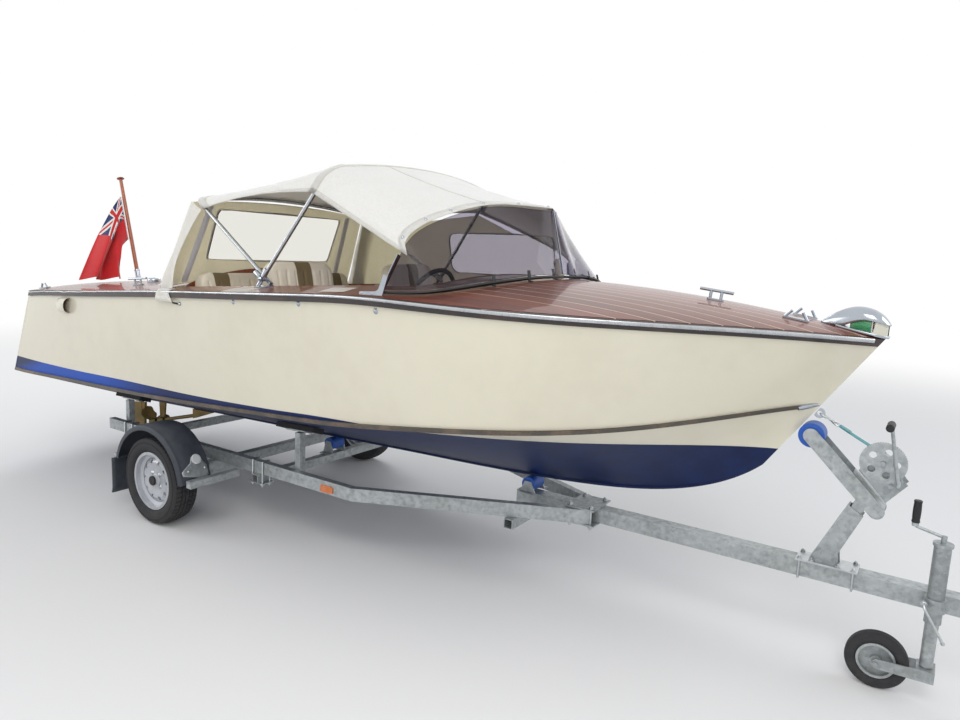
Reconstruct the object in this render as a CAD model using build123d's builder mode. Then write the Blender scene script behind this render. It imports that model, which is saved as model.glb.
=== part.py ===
"""Wooden hard-chine runabout on its single-axle galvanised trailer, millimetres, +Z up.

X runs forward to the tow coupling, Y to port.  The origin is on the ground, halfway along
the whole length.  The boat sits bow-up on the trailer, so its keel rises towards the bow.
"""

import os
from math import asin, atan2, cos, degrees, hypot, radians, sin, tan

from build123d import *

os.makedirs("parts", exist_ok=True)

# Hull offsets.  Each station is a plane that leans forward by its rake from the keel point.
# Rises are heights above the keel point and halves are half-breadths.
HULL = [
    # keel_x, keel_z, rake, chine_rise, chine_half, sheer_rise, sheer_half, crown
    (-3171, 378, 9.5, 286, 800, 860, 720, 58),
    (-2500, 402, 9.5, 281, 817, 880, 768, 62),
    (-1830, 426, 9.6, 279, 829, 900, 815, 67),
    (-1160, 448, 9.8, 285, 836, 922, 868, 75),
    (-490, 470, 11.0, 303, 838, 938, 908, 86),
    (180, 492, 12.0, 328, 836, 951, 940, 97),
    (760, 513, 15.2, 372, 776, 926, 932, 98),
    (1230, 547, 19.7, 390, 578, 883, 735, 72),
    (1600, 612, 25.0, 395, 290, 804, 405, 37),
    (1837, 703, 30.0, 361, 100, 697, 166, 14),
    (1990, 810, 34.2, 282, 14, 576, 14, 2),
]
KEEL_HALF = 12
PLANK = 12
TRANSOM_PLANK = 25
DECK_PLY = 14
SEAM = 1
JOINERY_GAP = 10
RUB_RAIL = (16, 24)
CHINE_RAIL = (14, 22)
CHINE_RAIL_END = 2120
KEEL_STRIP = 14
KEEL_GAP = 2
DECK_EDGE = 4
DECK_LOW, DECK_DEEP = 1150, 600

# Cockpit and its joinery
COCKPIT_AFT = -1270
COCKPIT_FORE = 640
COCKPIT_HALF = 735
COCKPIT_CORNER = 180
COAMING_THICK = 16
COAMING_RISE = 28
COAMING_DROP = 70
FOREDECK_AFT = 500
AFT_DECK_FORE = -1270
SOLE_Z = 700
SOLE_THICK = 14
BULKHEAD_THICK = 12
BULKHEAD_AFT_X = -1400
BULKHEAD_FORE_X = 1150
DASH_THICK = 18
DASH_HEIGHT = 280
DASH_HALF = 780

# Seats
SEATS = (
    # name, back_x, centres, width, depth, top_z, box_centres, box_width, box_depth
    ("front", -290, (-480, 480), 460, 480, 1580, (-370, 370), 290, 310),
    ("rear", -1020, (0,), 1240, 410, 1485, (0,), 1060, 260),
)
SEAT_TOP_Z = 1060
SEAT_PAD = 110
BACK_THICK = 110
SEAT_BOX_THICK = 15
SEAT_CORNER = 40
BACK_LEAN = 12

# Engine hatch on the aft deck
HATCH_AFT = -2420
HATCH_FORE = -1560
HATCH_HALF = 225
HATCH_GAP = 6
HINGE_R = 6
HINGE_X, HINGE_Z = -1563, 1424.6
HINGE_SPOTS = (-140, 140)
HINGE_HALF = 25
HINGE_LEAF = 36

# Windscreen, starboard half: foot and head of each rib of the bent sheet
SCREEN_THICK = 5
SCREEN = [
    # foot_x, foot_y, head_x, head_y, head_z
    (935, 8, 856, 8, 1892),
    (926, 200, 762, 200, 1893),
    (905, 380, 689, 380, 1878),
    (868, 560, 638, 560, 1828),
    (825, 700, 608, 696, 1777),
    (765, 810, 598, 784, 1732),
    (680, 875, 594, 830, 1692),
    (536, 905, 575, 850, 1640),
]
SCREEN_FOOT = 23
GASKET = (-17, -8)
GASKET_REACH = 7
STRIP_HALF = 3.5
STRIP_DEPTH = 14
BRACKET_CLEAR = 3
BRACKET_WIDTH = 34
BRACKET_THICK = 4
HOOD_FRONT = (860, 1900)
HOOD_SWEEP, HOOD_RAKE = 0.467, 0.667
HOOD_FRONT_OUTER = (
    # y, z of the hem, the side and the top
    ((866, 1642), (855, 1692)),
    ((855, 1692), (824, 1722), (783, 1749), (702, 1791), (602, 1829)),
    ((602, 1829), (452, 1874), (301, 1902), (150, 1907), (0, 1905)),
)
HOOD_FRONT_INNER = (
    ((861, 1642), (850, 1690)),
    ((850, 1690), (820, 1717), (780, 1744), (700, 1786), (600, 1824)),
    ((600, 1824), (450, 1869), (300, 1897), (150, 1902), (0, 1900)),
)

# Hood: tube bows and the cloth over them
TUBE_R = 11
TUBE_THICK = 1.5
FOOT_X, FOOT_Y, FOOT_Z = -410, 775, 1483
BOWS = {
    # name: shoulder_x, shoulder_z, foot_y, half, crown, crown_r, hem
    "main_bow": (0, 2036, FOOT_Y, 712, 110, 3500, 140),
    "rear_bow": (-1060, 1895, FOOT_Y - 2.5 * TUBE_R, 690, 150, 2500, 95),
}
BOW_CORNER = 95
ARCH_SHOULDER = 90
ARCH_SIDE = 75
FOOT_PLATE = (90, 52, 6)
CLOTH = 5
CLOTH_CLEAR = 4
CURTAIN_TOP_X, CURTAIN_TOP_Z = -1077, 1895
CURTAIN_FOOT_X, CURTAIN_FOOT_Z = -1288, 1400
CURTAIN_BULGE = 50
CURTAIN_TOP_HALF, CURTAIN_FOOT_HALF = 700, 775
SIDE_CURTAIN = [
    # foot_x, foot_y, head_x, head_y, head_z
    (-1268, 792, -1070, 700, 1868),
    (-1000, 806, -975, 712, 1818),
    (-100, 842, -88, 740, 1913),
    (516, 872, 516, 829, 1640),
]
WINDOW_REAR = (560, 1590, 1800)
WINDOW_SIDE = (-330, 470, 1530, 1790)
WINDOW_CORNER = 45

# Deck fittings
CLEATS = (
    # x, y, length
    (1705, 0, 150),
    (-1900, -555, 205),
    (-1900, 555, 205),
)
CLEAT_BASE = 34
CLEAT_PAD = 7
CLEAT_RISE = 42
CLEAT_ROD = 7
FAIRLEADS = ((2067, -110), (2067, 110), (-2960, -640), (-2960, 640))
FAIRLEAD_LENGTH = 100
VENTS = ((-2080, -330), (-2080, 330))
VENT_R = 45
VENT_RISE = 30
FOOT_SOCKET = 45
LIGHT_X = 2285
LIGHT_LENGTH = 256
LIGHT_RISE = 104
LIGHT_R = 62
LIGHT_SQUEEZE = 0.62
STAFF_FOOT = (-2818, 0)
STAFF_HEAD = (-3026, 0, 2123)
STAFF_R = 12
STAFF_BALL_R = 17
FLAG = ((-3002, -22, 1985), (-2712, -545, 1375), (-2800, -300, 1400), (-2915, -22, 1650))
FLAG_FOLD = 24

# Steering
STEER_CENTRE = (430, -440, 1400)
STEER_TILT = 20
STEER_R = 185
GRIP_R = 11
SPOKE_R = 6
STEER_HUB_R = 30
HUB_DEPTH = 40
COLUMN_R = 16
COLUMN_LENGTH = 260

# Engine and stern gear
ENGINE = ((-2210, -1730), (-210, 210), (560, 980))
PROP_X, PROP_Z = -2640, 215
PROP_HUB_R = 28
PROP_HUB_LENGTH = 84
SHAFT_R = 14
SHAFT_RISE = 14
LOG_AFT, LOG_FORE = -2110, -1880
LOG_WIDTH = 44
STRUT_X = -2530
STRUT_BARREL_R = 26
STRUT_THICK = 14
BLADE = (
    # radius, chord, pitch, thickness
    (20, 62, 62, 11),
    (60, 92, 42, 9),
    (105, 96, 30, 6),
    (136, 50, 24, 4),
)
RUDDER_X = -2810
RUDDER_BLADE = ((-2760, 352), (-2775, 120), (-2935, 120), (-2950, 330))
RUDDER_THICK = 20
RUDDER_STOCK_R = 14

# Trailer
FRAME_TOP = 418
RAIL_HEIGHT = 71
RAIL_WIDTH = 40
RAIL_OUTER = 613
RAIL_REAR = -2200
RAIL_BEND = 84
DRAWBAR_JOIN = 1206
TUBE_WALL = 4
CLAMP_X = (1080, 1240)
CLAMP_HALF = 105
CLAMP_THICK = 8
DRAWBAR_WIDTH = 80
DRAWBAR_HEIGHT = 71
DRAWBAR_AFT = 760
DRAWBAR_FORE = 2900
AXLE_X = -1190
TYRE_R = 261
TYRE_WIDTH = 155
TRACK_HALF = 875
RIM_R = 165
RIM_WIDTH = 118
RIM_BARREL = ((-63, 172), (-59, 172), (-59, 159), (-34, 157), (-26, 138), (26, 138),
              (34, 157), (59, 159), (59, 172), (63, 172), (63, 155), (37, 153), (29, 134),
              (-29, 134), (-37, 153), (-63, 155))
RIM_DISC = ((14, 136), (20, 136), (38, 108), (30, 62), (30, 34), (24, 34), (24, 62),
            (31, 106))
RIM_HUB = ((-70, 19), (-70, 50), (-40, 50), (-36, 38), (24, 38), (34, 40), (38, 30), (52, 27),
           (58, 18), (58, 0), (53, 0), (53, 15), (46, 19))
RIM_SLOTS = 10
RIM_SLOT_R = 112
RIM_SLOT = (26, 17)
GUARD_R = 338
GUARD_WIDTH = 205
GUARD_THICK = 6
CROSS_TUBE = 50
CROSS_TUBES = (
    # x, half_length
    (860, 290),
    (-640, 640),
    (-1960, 605),
)
AXLE_BEAM_X = -1050
AXLE_BEAM = 60
AXLE_BEAM_HALF = 645
ARM_THICK = 30
STUB_R = 18
STUB_CLEAR = 1
GUARD_ANGLES = (8, 164)
GUARD_SKIRT = 34
GUARD_Y = (767, 967)
BRACKET_X = (-846, -806)
FLAP = (-1545, 150, 330)
FLAP_THICK = 5
ROLLER_SPOTS = (834, -640)
KEEL_ROLLER_R = 40
KEEL_ROLLER_WIDTH = 100
ROLLER_PIN_R = 10
ROLLER_BRACKET = (90, 7)
BRACKET_FLANGE = 34
PADS = (
    # x, y, post_y
    (-368, 545, 545),
    (-2080, 500, 530),
)
PAD_SIZE = (300, 90, 28)
PAD_GAP = 3
POST_WIDTH = 40

# Winch post
POST_BASE = (2200, 2345)
POST_OUTLINE = ((2208, 424), (2325, 424), (2318, 482), (2394, 664), (2334, 700))
POST_HALF = 32
POST_WALL = 5
POST_SLOPE = (130, 276)
ROLLER_X, ROLLER_Z, ROLLER_R = 2166, 968, 52
BOW_ROLLER_WIDTH = 80
ARM_FOOT = (2437, 700)
ARM_WIDTH = 62
ARM_PLATE_Y = 47
ARM_PLATE = 6
DRUM_X, DRUM_Z = 2440, 905
WINCH_PLATES = ((2355, 856), (2438, 935), (2534, 828), (2466, 742))
WINCH_PLATE_Y = 38
WINCH_PLATE = 4
DRUM_R = 24
GEAR_R = 88
GEAR_Y = -52
GEAR_THICK = 6
GEAR_TEETH = 60
TOOTH = 5
PINION_X, PINION_Z, PINION_R = 2503, 840, 14
CRANK_Y = -118
CRANK_TOP = (2455, 1080)
STRAP_WIDTH = 46
STRAP_THICK = 3
STRAP_HOOK = (2222, 1044)
EYE_RISE = 1062
EYE_R = 6
EYE_RING = 22

# Jockey wheel
JOCKEY_X, JOCKEY_Y = 2675, -112
JOCKEY_TUBE_R = 30
JOCKEY_LEG_R = 24
JOCKEY_FIT = 0.5
JOCKEY_TUBE = (330, 640)
JOCKEY_TRAIL = 168
JOCKEY_WHEEL_R = 115
JOCKEY_WHEEL_WIDTH = 60
JOCKEY_LEG = (150, 540)
JOCKEY_CLAMP = (378, 430)
JOCKEY_FORK_TOP = 145
JOCKEY_FORK_HALF = 46
JOCKEY_FORK_THICK = 6
CRANK_ARM = (2576, 757)
JOCKEY_RIM = (
    # half_width, low_radius, high_radius
    (22, 62, 72),
    (3, 20, 66),
    (27, 10, 22),
)

# Coupling head
NOSE_X = DRAWBAR_FORE + 271
BALL_X = DRAWBAR_FORE + 218
BALL_R = 25.4
SOCKET_DEPTH = 32
COUPLING_Z = (366, 430)
COUPLING_AFT = DRAWBAR_FORE - 40
COUPLING_NECK = DRAWBAR_FORE + 75


def save(piece, name):
    """Label a finished piece and write it as its own node."""
    piece.part.label = name
    export_step(piece.part, f"parts/{name}.step")


def rake_plane(keel_x, keel_z, rake, ahead=0):
    """Plane of a station: local x is to port, local y climbs along the rake."""
    lean = radians(rake)
    return Plane(origin=(keel_x + ahead, 0, keel_z), x_dir=(0, 1, 0),
                 z_dir=(cos(lean), 0, -sin(lean)))


def along(row, rise):
    """A height above the keel point, measured along the raked plane."""
    return rise / cos(radians(row[2]))


def corners(row):
    """Outside corners of a station on its raked plane: keel, chine and sheer."""
    return (KEEL_HALF, 0), (row[4], along(row, row[3])), (row[6], along(row, row[5]))


def inset(start, end, distance):
    """A line moved sideways towards the inside of the boat."""
    dx, dy = end[0] - start[0], end[1] - start[1]
    shift = (-dy * distance / hypot(dx, dy), dx * distance / hypot(dx, dy))
    return [(x + shift[0], y + shift[1]) for x, y in (start, end)]


def meet(first, second):
    """Where two lines cross."""
    (ax, ay), (bx, by) = first
    (cx, cy), (ex, ey) = second
    cross = (bx - ax) * (ey - cy) - (by - ay) * (ex - cx)
    t = ((cx - ax) * (ey - cy) - (cy - ay) * (ex - cx)) / cross
    return ax + t * (bx - ax), ay + t * (by - ay)


def inner_chine(row):
    """Inside corner where bottom and topside planks mitre together."""
    keel, chine, sheer = corners(row)
    return meet(inset(keel, chine, PLANK), inset(chine, sheer, PLANK))


def topside_section(row):
    """Side planking from just above the chine mitre to the sheer."""
    keel, chine, sheer = corners(row)
    inner = inner_chine(row)
    inner_sheer = meet(inset(chine, sheer, PLANK), [(0, sheer[1]), (1, sheer[1])])
    return [(chine[0], chine[1] + SEAM), sheer, inner_sheer, (inner[0], inner[1] + SEAM)]


def bottom_section(row):
    """Bottom planking from the keel to the chine mitre."""
    keel, chine, sheer = corners(row)
    line = inset(keel, chine, PLANK)
    inner_keel = meet(line, [(SEAM, 0), (SEAM, 1)])
    return [(SEAM, 0), keel, chine, inner_chine(row), inner_keel]


def on_side_plank(row, low, high, width):
    """A bar of rectangular section lying on the outside face of the side planking."""
    keel, chine, sheer = corners(row)
    length = hypot(sheer[0] - chine[0], sheer[1] - chine[1])
    up = ((sheer[0] - chine[0]) / length, (sheer[1] - chine[1]) / length)
    out = (up[1], -up[0])
    base = sheer if low < 0 < high or high <= 0 else chine
    return [(base[0] + up[0] * rise + out[0] * reach, base[1] + up[1] * rise + out[1] * reach)
            for rise, reach in ((low, SEAM), (low, width), (high, width), (high, SEAM))]


def rub_rail_section(row):
    """Rub rail along the sheer."""
    width, height = RUB_RAIL
    return on_side_plank(row, -height, DECK_PLY, width)


def chine_rail_section(row):
    """Spray rail along the chine."""
    width, height = CHINE_RAIL
    return on_side_plank(row, SEAM, height, width)


def keel_section(row):
    """Keel strip under the planking, half of it."""
    return [(0, -KEEL_STRIP), (KEEL_HALF, -KEEL_STRIP), (KEEL_HALF, -KEEL_GAP), (0, -KEEL_GAP)]


def loft_side(section, side, rows=HULL):
    """Loft one section of straight lines through the stations on one side."""
    with BuildPart() as body:
        for i, row in enumerate(rows):
            ahead = TRANSOM_PLANK + SEAM if i == 0 else 0
            with BuildSketch(rake_plane(*row[:3], ahead)):
                with BuildLine():
                    Polyline(*[(side * x, y) for x, y in section(row)], close=True)
                make_face()
        loft()
    return body.part


SIDES = (("starboard", -1), ("port", 1))
STERN = HULL[0]

# Planking
planks = {}
for side_name, side in SIDES:
    with BuildPart() as topside:
        add(loft_side(topside_section, side))
    save(topside, f"topside_{side_name}")
    with BuildPart() as bottom:
        add(loft_side(bottom_section, side))
    save(bottom, f"bottom_{side_name}")
    planks[side] = bottom.part

with BuildPart() as transom:
    with BuildSketch(rake_plane(*STERN[:3])):
        with BuildLine():
            right = list(corners(STERN))
            Polyline(*reversed(right), *[(-x, y) for x, y in right])
            ThreePointArc(right[-1], (0, right[-1][1] + along(STERN, STERN[7]) - SEAM),
                          (-right[-1][0], right[-1][1]))
        make_face()
    extrude(amount=TRANSOM_PLANK)
save(transom, "transom")

with BuildPart() as hull_rails:
    for side_name, side in SIDES:
        add(loft_side(chine_rail_section, side))
    split(bisect_by=Plane.YZ.offset(CHINE_RAIL_END), keep=Keep.BOTTOM)
    for side_name, side in SIDES:
        add(loft_side(rub_rail_section, side))
save(hull_rails, "hull_rails")

with BuildPart() as keel:
    add(loft_side(keel_section, 1))
    mirror(about=Plane.XZ)
save(keel, "keel")


def deck_section(row, low, high):
    """Crowned slab across the boat between two heights over the sheer."""
    half, sheer = corners(row)[2]
    half -= DECK_EDGE
    crown = along(row, row[7])
    with BuildLine() as outline:
        under = ThreePointArc((-half, sheer + low), (0, sheer + crown + low),
                              (half, sheer + low))
        Line(under @ 1, (half, sheer + high))
        over = ThreePointArc((half, sheer + high), (0, sheer + crown + high),
                             (-half, sheer + high))
        Line(over @ 1, under @ 0)
    return outline.line


def deck_slab(low, high):
    """Slab that follows sheer and crown over the whole boat."""
    with BuildPart() as slab:
        for row in HULL:
            with BuildSketch(rake_plane(*row[:3])):
                add(deck_section(row, low, high))
                make_face()
        loft()
    return slab.part


def keel_under(x):
    """Height of the keel strip's lower face."""
    for aft, fore in zip(HULL, HULL[1:]):
        if x <= fore[0]:
            share = (x - aft[0]) / (fore[0] - aft[0])
            return aft[1] + share * (fore[1] - aft[1]) - KEEL_STRIP


def inside_section(row):
    """Room inside the planking up to the deck."""
    keel, chine, sheer = corners(row)
    bottom = inset(keel, chine, PLANK + JOINERY_GAP)
    side = inset(chine, sheer, PLANK + JOINERY_GAP)
    rise = meet(bottom, [(0, 0), (0, 1)])[1]
    top = meet(side, [(0, sheer[1] - JOINERY_GAP), (1, sheer[1] - JOINERY_GAP)])
    inner = meet(bottom, side)
    return [(0, rise), inner, top, (-top[0], top[1]), (-inner[0], inner[1])]


def hull_room():
    """The space inside the planking, as one solid."""
    with BuildPart() as room:
        for row in HULL[:-1]:
            with BuildSketch(rake_plane(*row[:3])):
                with BuildLine():
                    Polyline(*inside_section(row), close=True)
                make_face()
        loft()
    return room.part


# Deck, cut for the cockpit and the engine hatch
deck = deck_slab(SEAM, SEAM + DECK_PLY)


def on_skin(solid, start, direction):
    """Plane on the first face that a ray meets, with its z away from the solid."""
    point, normal = solid.find_intersection_points(Axis(start, direction))[0]
    outward = normal if normal.dot(Vector(*direction)) < 0 else -normal
    return Plane(origin=point, x_dir=Vector(0, 1, 0).cross(outward), z_dir=outward)


def on_deck(x, y, clear=SEAM):
    """Plane on the deck's upper face, local x forward, y to port."""
    return on_skin(deck, (x, y, 3000), (0, 0, -1)).offset(clear)


def deck_top(x, y):
    """Height of the deck's upper face."""
    return on_deck(x, y, 0).origin.Z


with BuildPart() as cockpit_hole:
    with BuildSketch(Plane.XY.offset(DECK_LOW)):
        with Locations(((COCKPIT_FORE + COCKPIT_AFT) / 2, 0)):
            RectangleRounded(COCKPIT_FORE - COCKPIT_AFT, 2 * COCKPIT_HALF, COCKPIT_CORNER)
    extrude(amount=DECK_DEEP)


def between(x_aft, x_fore, half=1200, low=0, high=2400):
    """A block across the boat, for cutting."""
    return Box(x_fore - x_aft, 2 * half, high - low,
               align=(Align.MIN, Align.CENTER, Align.MIN),
               mode=Mode.PRIVATE).moved(Location((x_aft, 0, low)))


hatch_hole = between(HATCH_AFT, HATCH_FORE, HATCH_HALF)
hatch_blank = between(HATCH_AFT + HATCH_GAP, HATCH_FORE - HATCH_GAP, HATCH_HALF - HATCH_GAP)
DECK_NODES = (
    ("aft_deck", -3400, AFT_DECK_FORE),
    ("side_decks", AFT_DECK_FORE, FOREDECK_AFT),
    ("foredeck", FOREDECK_AFT, 2600),
)
for name, aft, fore in DECK_NODES:
    with BuildPart() as panel:
        add(deck)
        add(between(aft, fore), mode=Mode.INTERSECT)
        add(cockpit_hole.part, mode=Mode.SUBTRACT)
        if name == "aft_deck":
            add(hatch_hole, mode=Mode.SUBTRACT)
    save(panel, name)


# Cockpit joinery
with BuildPart() as coaming:
    add(deck_slab(SEAM + DECK_PLY - COAMING_DROP, SEAM + DECK_PLY + COAMING_RISE))
    with BuildSketch(Plane.XY.offset(DECK_LOW)) as ring:
        with Locations(((COCKPIT_FORE + COCKPIT_AFT) / 2, 0)):
            RectangleRounded(COCKPIT_FORE - COCKPIT_AFT - 2 * SEAM,
                             2 * (COCKPIT_HALF - SEAM), COCKPIT_CORNER - SEAM)
            RectangleRounded(COCKPIT_FORE - COCKPIT_AFT - 2 * COAMING_THICK,
                             2 * (COCKPIT_HALF - COAMING_THICK),
                             COCKPIT_CORNER - COAMING_THICK, mode=Mode.SUBTRACT)
    extrude(amount=DECK_DEEP, mode=Mode.INTERSECT)
save(coaming, "coaming")

room = hull_room()
with BuildPart() as floor:
    add(room & between(BULKHEAD_AFT_X + BULKHEAD_THICK + SEAM, BULKHEAD_FORE_X - SEAM,
                       low=SOLE_Z, high=SOLE_Z + SOLE_THICK))
    for x in (BULKHEAD_AFT_X, BULKHEAD_FORE_X):
        add(room & between(x, x + BULKHEAD_THICK))
save(floor, "floor_and_bulkheads")

with BuildPart() as dashboard:
    add(deck_slab(-DASH_HEIGHT, -SEAM))
    add(between(COCKPIT_FORE + SEAM, COCKPIT_FORE + SEAM + DASH_THICK, DASH_HALF),
        mode=Mode.INTERSECT)


# Seats: boxes on the sole, cushions on them and backs behind
def seat_back_outline(width, height, corner):
    """Upright pad seen from the front, with two round top corners."""
    with BuildSketch() as pad:
        Rectangle(width, height, align=(Align.CENTER, Align.MIN))
        fillet(pad.vertices().group_by(Axis.Y)[-1], corner)
    return pad.sketch


with BuildPart() as seat_boxes:
    for name, back_x, centres, width, depth, top_z, box_centres, box_width, box_depth in SEATS:
        for y in box_centres:
            with BuildSketch(Plane.XY.offset(SOLE_Z + SOLE_THICK + SEAM)):
                with Locations((back_x + depth / 2, y)):
                    Rectangle(box_depth, box_width)
                    Rectangle(box_depth - 2 * SEAT_BOX_THICK, box_width - 2 * SEAT_BOX_THICK,
                              mode=Mode.SUBTRACT)
    extrude(amount=SEAT_TOP_Z - SEAT_PAD - SOLE_Z - SOLE_THICK - 2 * SEAM)
save(seat_boxes, "seat_boxes")

with BuildPart() as cushions:
    for name, back_x, centres, width, depth, *rest in SEATS:
        for y in centres:
            with BuildSketch(Plane.XY.offset(SEAT_TOP_Z - SEAT_PAD)):
                with Locations((back_x + depth / 2, y)):
                    RectangleRounded(depth, width, SEAT_CORNER)
    extrude(amount=SEAT_PAD)
save(cushions, "seat_cushions")

with BuildPart() as backs:
    for name, back_x, centres, width, depth, top_z, *rest in SEATS:
        for y in centres:
            foot = (back_x - SEAM, y, SEAT_TOP_Z - SEAT_PAD)
            lean = radians(BACK_LEAN)
            face = Plane(origin=foot, x_dir=(0, 1, 0), z_dir=(cos(lean), 0, sin(lean)))
            with BuildSketch(face):
                add(seat_back_outline(width, (top_z - foot[2]) / cos(lean), SEAT_CORNER * 2))
    extrude(amount=-BACK_THICK)
save(backs, "seat_backs")


# Windscreen: two bent sheets that meet on the centreline
def screen_plane(side, i):
    """Plane through one rib of the sheet: local x climbs the rib, local y points outboard."""
    def foot(j):
        x, y = SCREEN[j][:2]
        return Vector(x, side * y, deck_top(x, y) + SCREEN_FOOT)

    start, (head_x, head_y, head_z) = foot(i), SCREEN[i][2:]
    rib = Vector(head_x, side * head_y, head_z) - start
    up = rib.normalized()
    run = foot(min(i + 1, len(SCREEN) - 1)) - foot(max(i - 1, 0))
    outward = Vector(-run.Y, run.X, 0) * -side
    outward = (outward - up * outward.dot(up)).normalized()
    return Plane(origin=start, x_dir=up, z_dir=up.cross(outward)), rib.length


def screen_sheet(side, low, high, inner, outer):
    """Band along the bent screen; with no upper end it reaches the head."""
    with BuildPart() as sheet:
        for i in range(len(SCREEN)):
            plane, length = screen_plane(side, i)
            top = length if high is None else high
            with BuildSketch(plane):
                with BuildLine():
                    Polyline((low, inner), (top, inner), (top, outer), (low, outer), close=True)
                make_face()
        loft()
    return sheet.part


for side_name, side in SIDES:
    with BuildPart() as windscreen:
        add(screen_sheet(side, 0, None, 0, SCREEN_THICK))
    save(windscreen, f"windscreen_{side_name}")

with BuildPart() as screen_gasket:
    for side_name, side in SIDES:
        add(screen_sheet(side, *GASKET, -GASKET_REACH, SCREEN_THICK + GASKET_REACH))
save(screen_gasket, "screen_gasket")

with BuildPart() as screen_frame:
    plane, length = screen_plane(1, 0)
    centre = Plane(origin=(plane.origin.X, 0, plane.origin.Z), x_dir=plane.x_dir, z_dir=(0, 1, 0))
    with BuildSketch(centre):
        with Locations((length / 2, 0)):
            Rectangle(length, STRIP_DEPTH)
    extrude(amount=STRIP_HALF, both=True)
    plane, length = screen_plane(1, len(SCREEN) - 1)
    with BuildSketch(plane.offset(BRACKET_CLEAR)):
        with Locations((0, SCREEN_THICK / 2)):
            Rectangle(length, BRACKET_WIDTH, align=(Align.MIN, Align.CENTER))
    extrude(amount=BRACKET_THICK)
    mirror(about=Plane.XZ)
save(screen_frame, "screen_frame")


# Hood: two tube bows that stand on one pair of deck feet
def bow_plane(name):
    """Plane from the feet to the shoulders of a bow: local x is to port, y climbs the legs."""
    rise = Vector(BOWS[name][0] - FOOT_X, 0, BOWS[name][1] - FOOT_Z)
    return Plane(origin=(FOOT_X, 0, FOOT_Z), x_dir=(0, 1, 0),
                 z_dir=Vector(0, 1, 0).cross(rise.normalized())), rise.length


for name, (x, z, foot_y, half, crown, crown_r, hem) in BOWS.items():
    plane, length = bow_plane(name)
    with BuildPart() as bow:
        with BuildLine(plane) as path:
            FilletPolyline((-foot_y, 0), (-half, length), (0, length + crown),
                           (half, length), (foot_y, 0), radius=[BOW_CORNER, crown_r, BOW_CORNER])
        with BuildSketch(Plane(origin=path.line @ 0, z_dir=path.line % 0)):
            Circle(TUBE_R)
            Circle(TUBE_R - TUBE_THICK, mode=Mode.SUBTRACT)
        sweep()
    save(bow, name)


def bow_arch(name):
    """Cloth points over a bow: hem, side, shoulder and the top of the crown."""
    x, z, foot_y, half, crown, crown_r, hem = BOWS[name]
    length = bow_plane(name)[1]
    out = TUBE_R + CLOTH_CLEAR + CLOTH
    lean = (foot_y - half) / length
    slope = crown / half
    crown_drop = crown_r * (hypot(1, slope) - 1)
    return ((half + lean * hem + out, length - hem),
            (half + lean * ARCH_SIDE + out, length - ARCH_SIDE),
            (half - ARCH_SHOULDER, length + slope * ARCH_SHOULDER + out + CLOTH_CLEAR),
            length + crown - crown_drop + out + CLOTH_CLEAR)


def arch_face(hem, side, shoulder, crown):
    """Section of the cloth: an outer arch and the same arch one cloth thickness inside."""
    def flip(point):
        return -point[0], point[1]

    with BuildSketch(mode=Mode.PRIVATE) as band:
        with BuildLine():
            hems = []
            for inner in (0, CLOTH):
                foot = (hem[0] - inner, hem[1])
                waist = (side[0] - inner, side[1])
                top = (shoulder[0], shoulder[1] - inner)
                knee = ((waist[0] + top[0]) / 2 + 0.2 * (waist[0] - top[0]),
                        (waist[1] + top[1]) / 2 + 0.2 * (top[1] - waist[1]))
                Line(foot, waist)
                ThreePointArc(waist, knee, top)
                ThreePointArc(top, (0, crown - inner), flip(top))
                ThreePointArc(flip(top), flip(knee), flip(waist))
                Line(flip(waist), flip(foot))
                hems.append(foot)
            Line(hems[0], hems[1])
            Line(flip(hems[0]), flip(hems[1]))
        make_face()
    return band.sketch


def curve(points):
    """Line, arc or spline, by how many points there are."""
    (Line, ThreePointArc, Spline)[min(len(points), 4) - 2](*points)


def half_face(outer, inner):
    """Half a section of the cloth, from the hem to the middle."""
    with BuildSketch(mode=Mode.PRIVATE) as band:
        with BuildLine():
            for edges in (outer, inner):
                for points in edges:
                    curve(points)
            Line(outer[0][0], inner[0][0])
            Line(outer[-1][-1], inner[-1][-1])
        make_face()
    return band.sketch


def half_arch(hem, side, shoulder, crown, inner):
    """Edges of half an arch: hem, knee and top."""
    foot, waist = (hem[0] - inner, hem[1]), (side[0] - inner, side[1])
    top, peak = (shoulder[0], shoulder[1] - inner), crown - inner
    knee = ((waist[0] + top[0]) / 2 + 0.2 * (waist[0] - top[0]),
            (waist[1] + top[1]) / 2 + 0.2 * (top[1] - waist[1]))
    radius = (top[0] ** 2 + (peak - top[1]) ** 2) / 2 / (peak - top[1])
    turn = asin(top[0] / radius) / 2
    haunch = (radius * sin(turn), peak - radius + radius * cos(turn))
    return (foot, waist), (waist, knee, top), (top, haunch, (0, peak))


def hood_front_face():
    """Port half of the hood's front edge, swept back from the middle and raked."""
    def place(y, z):
        return Vector(HOOD_FRONT[0] - HOOD_SWEEP * y - HOOD_RAKE * (z - HOOD_FRONT[1]), y, z)

    across = Vector(-HOOD_SWEEP, 1, 0)
    plane = Plane(origin=place(0, HOOD_FRONT[1]), x_dir=across,
                  z_dir=across.cross(Vector(-HOOD_RAKE, 0, 1)))
    sides = []
    for edges in (HOOD_FRONT_OUTER, HOOD_FRONT_INNER):
        local = [[plane.to_local_coords(place(*point)) for point in points] for points in edges]
        sides.append([[(point.X, point.Y) for point in points] for points in local])
    return plane, half_face(*sides)


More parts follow.
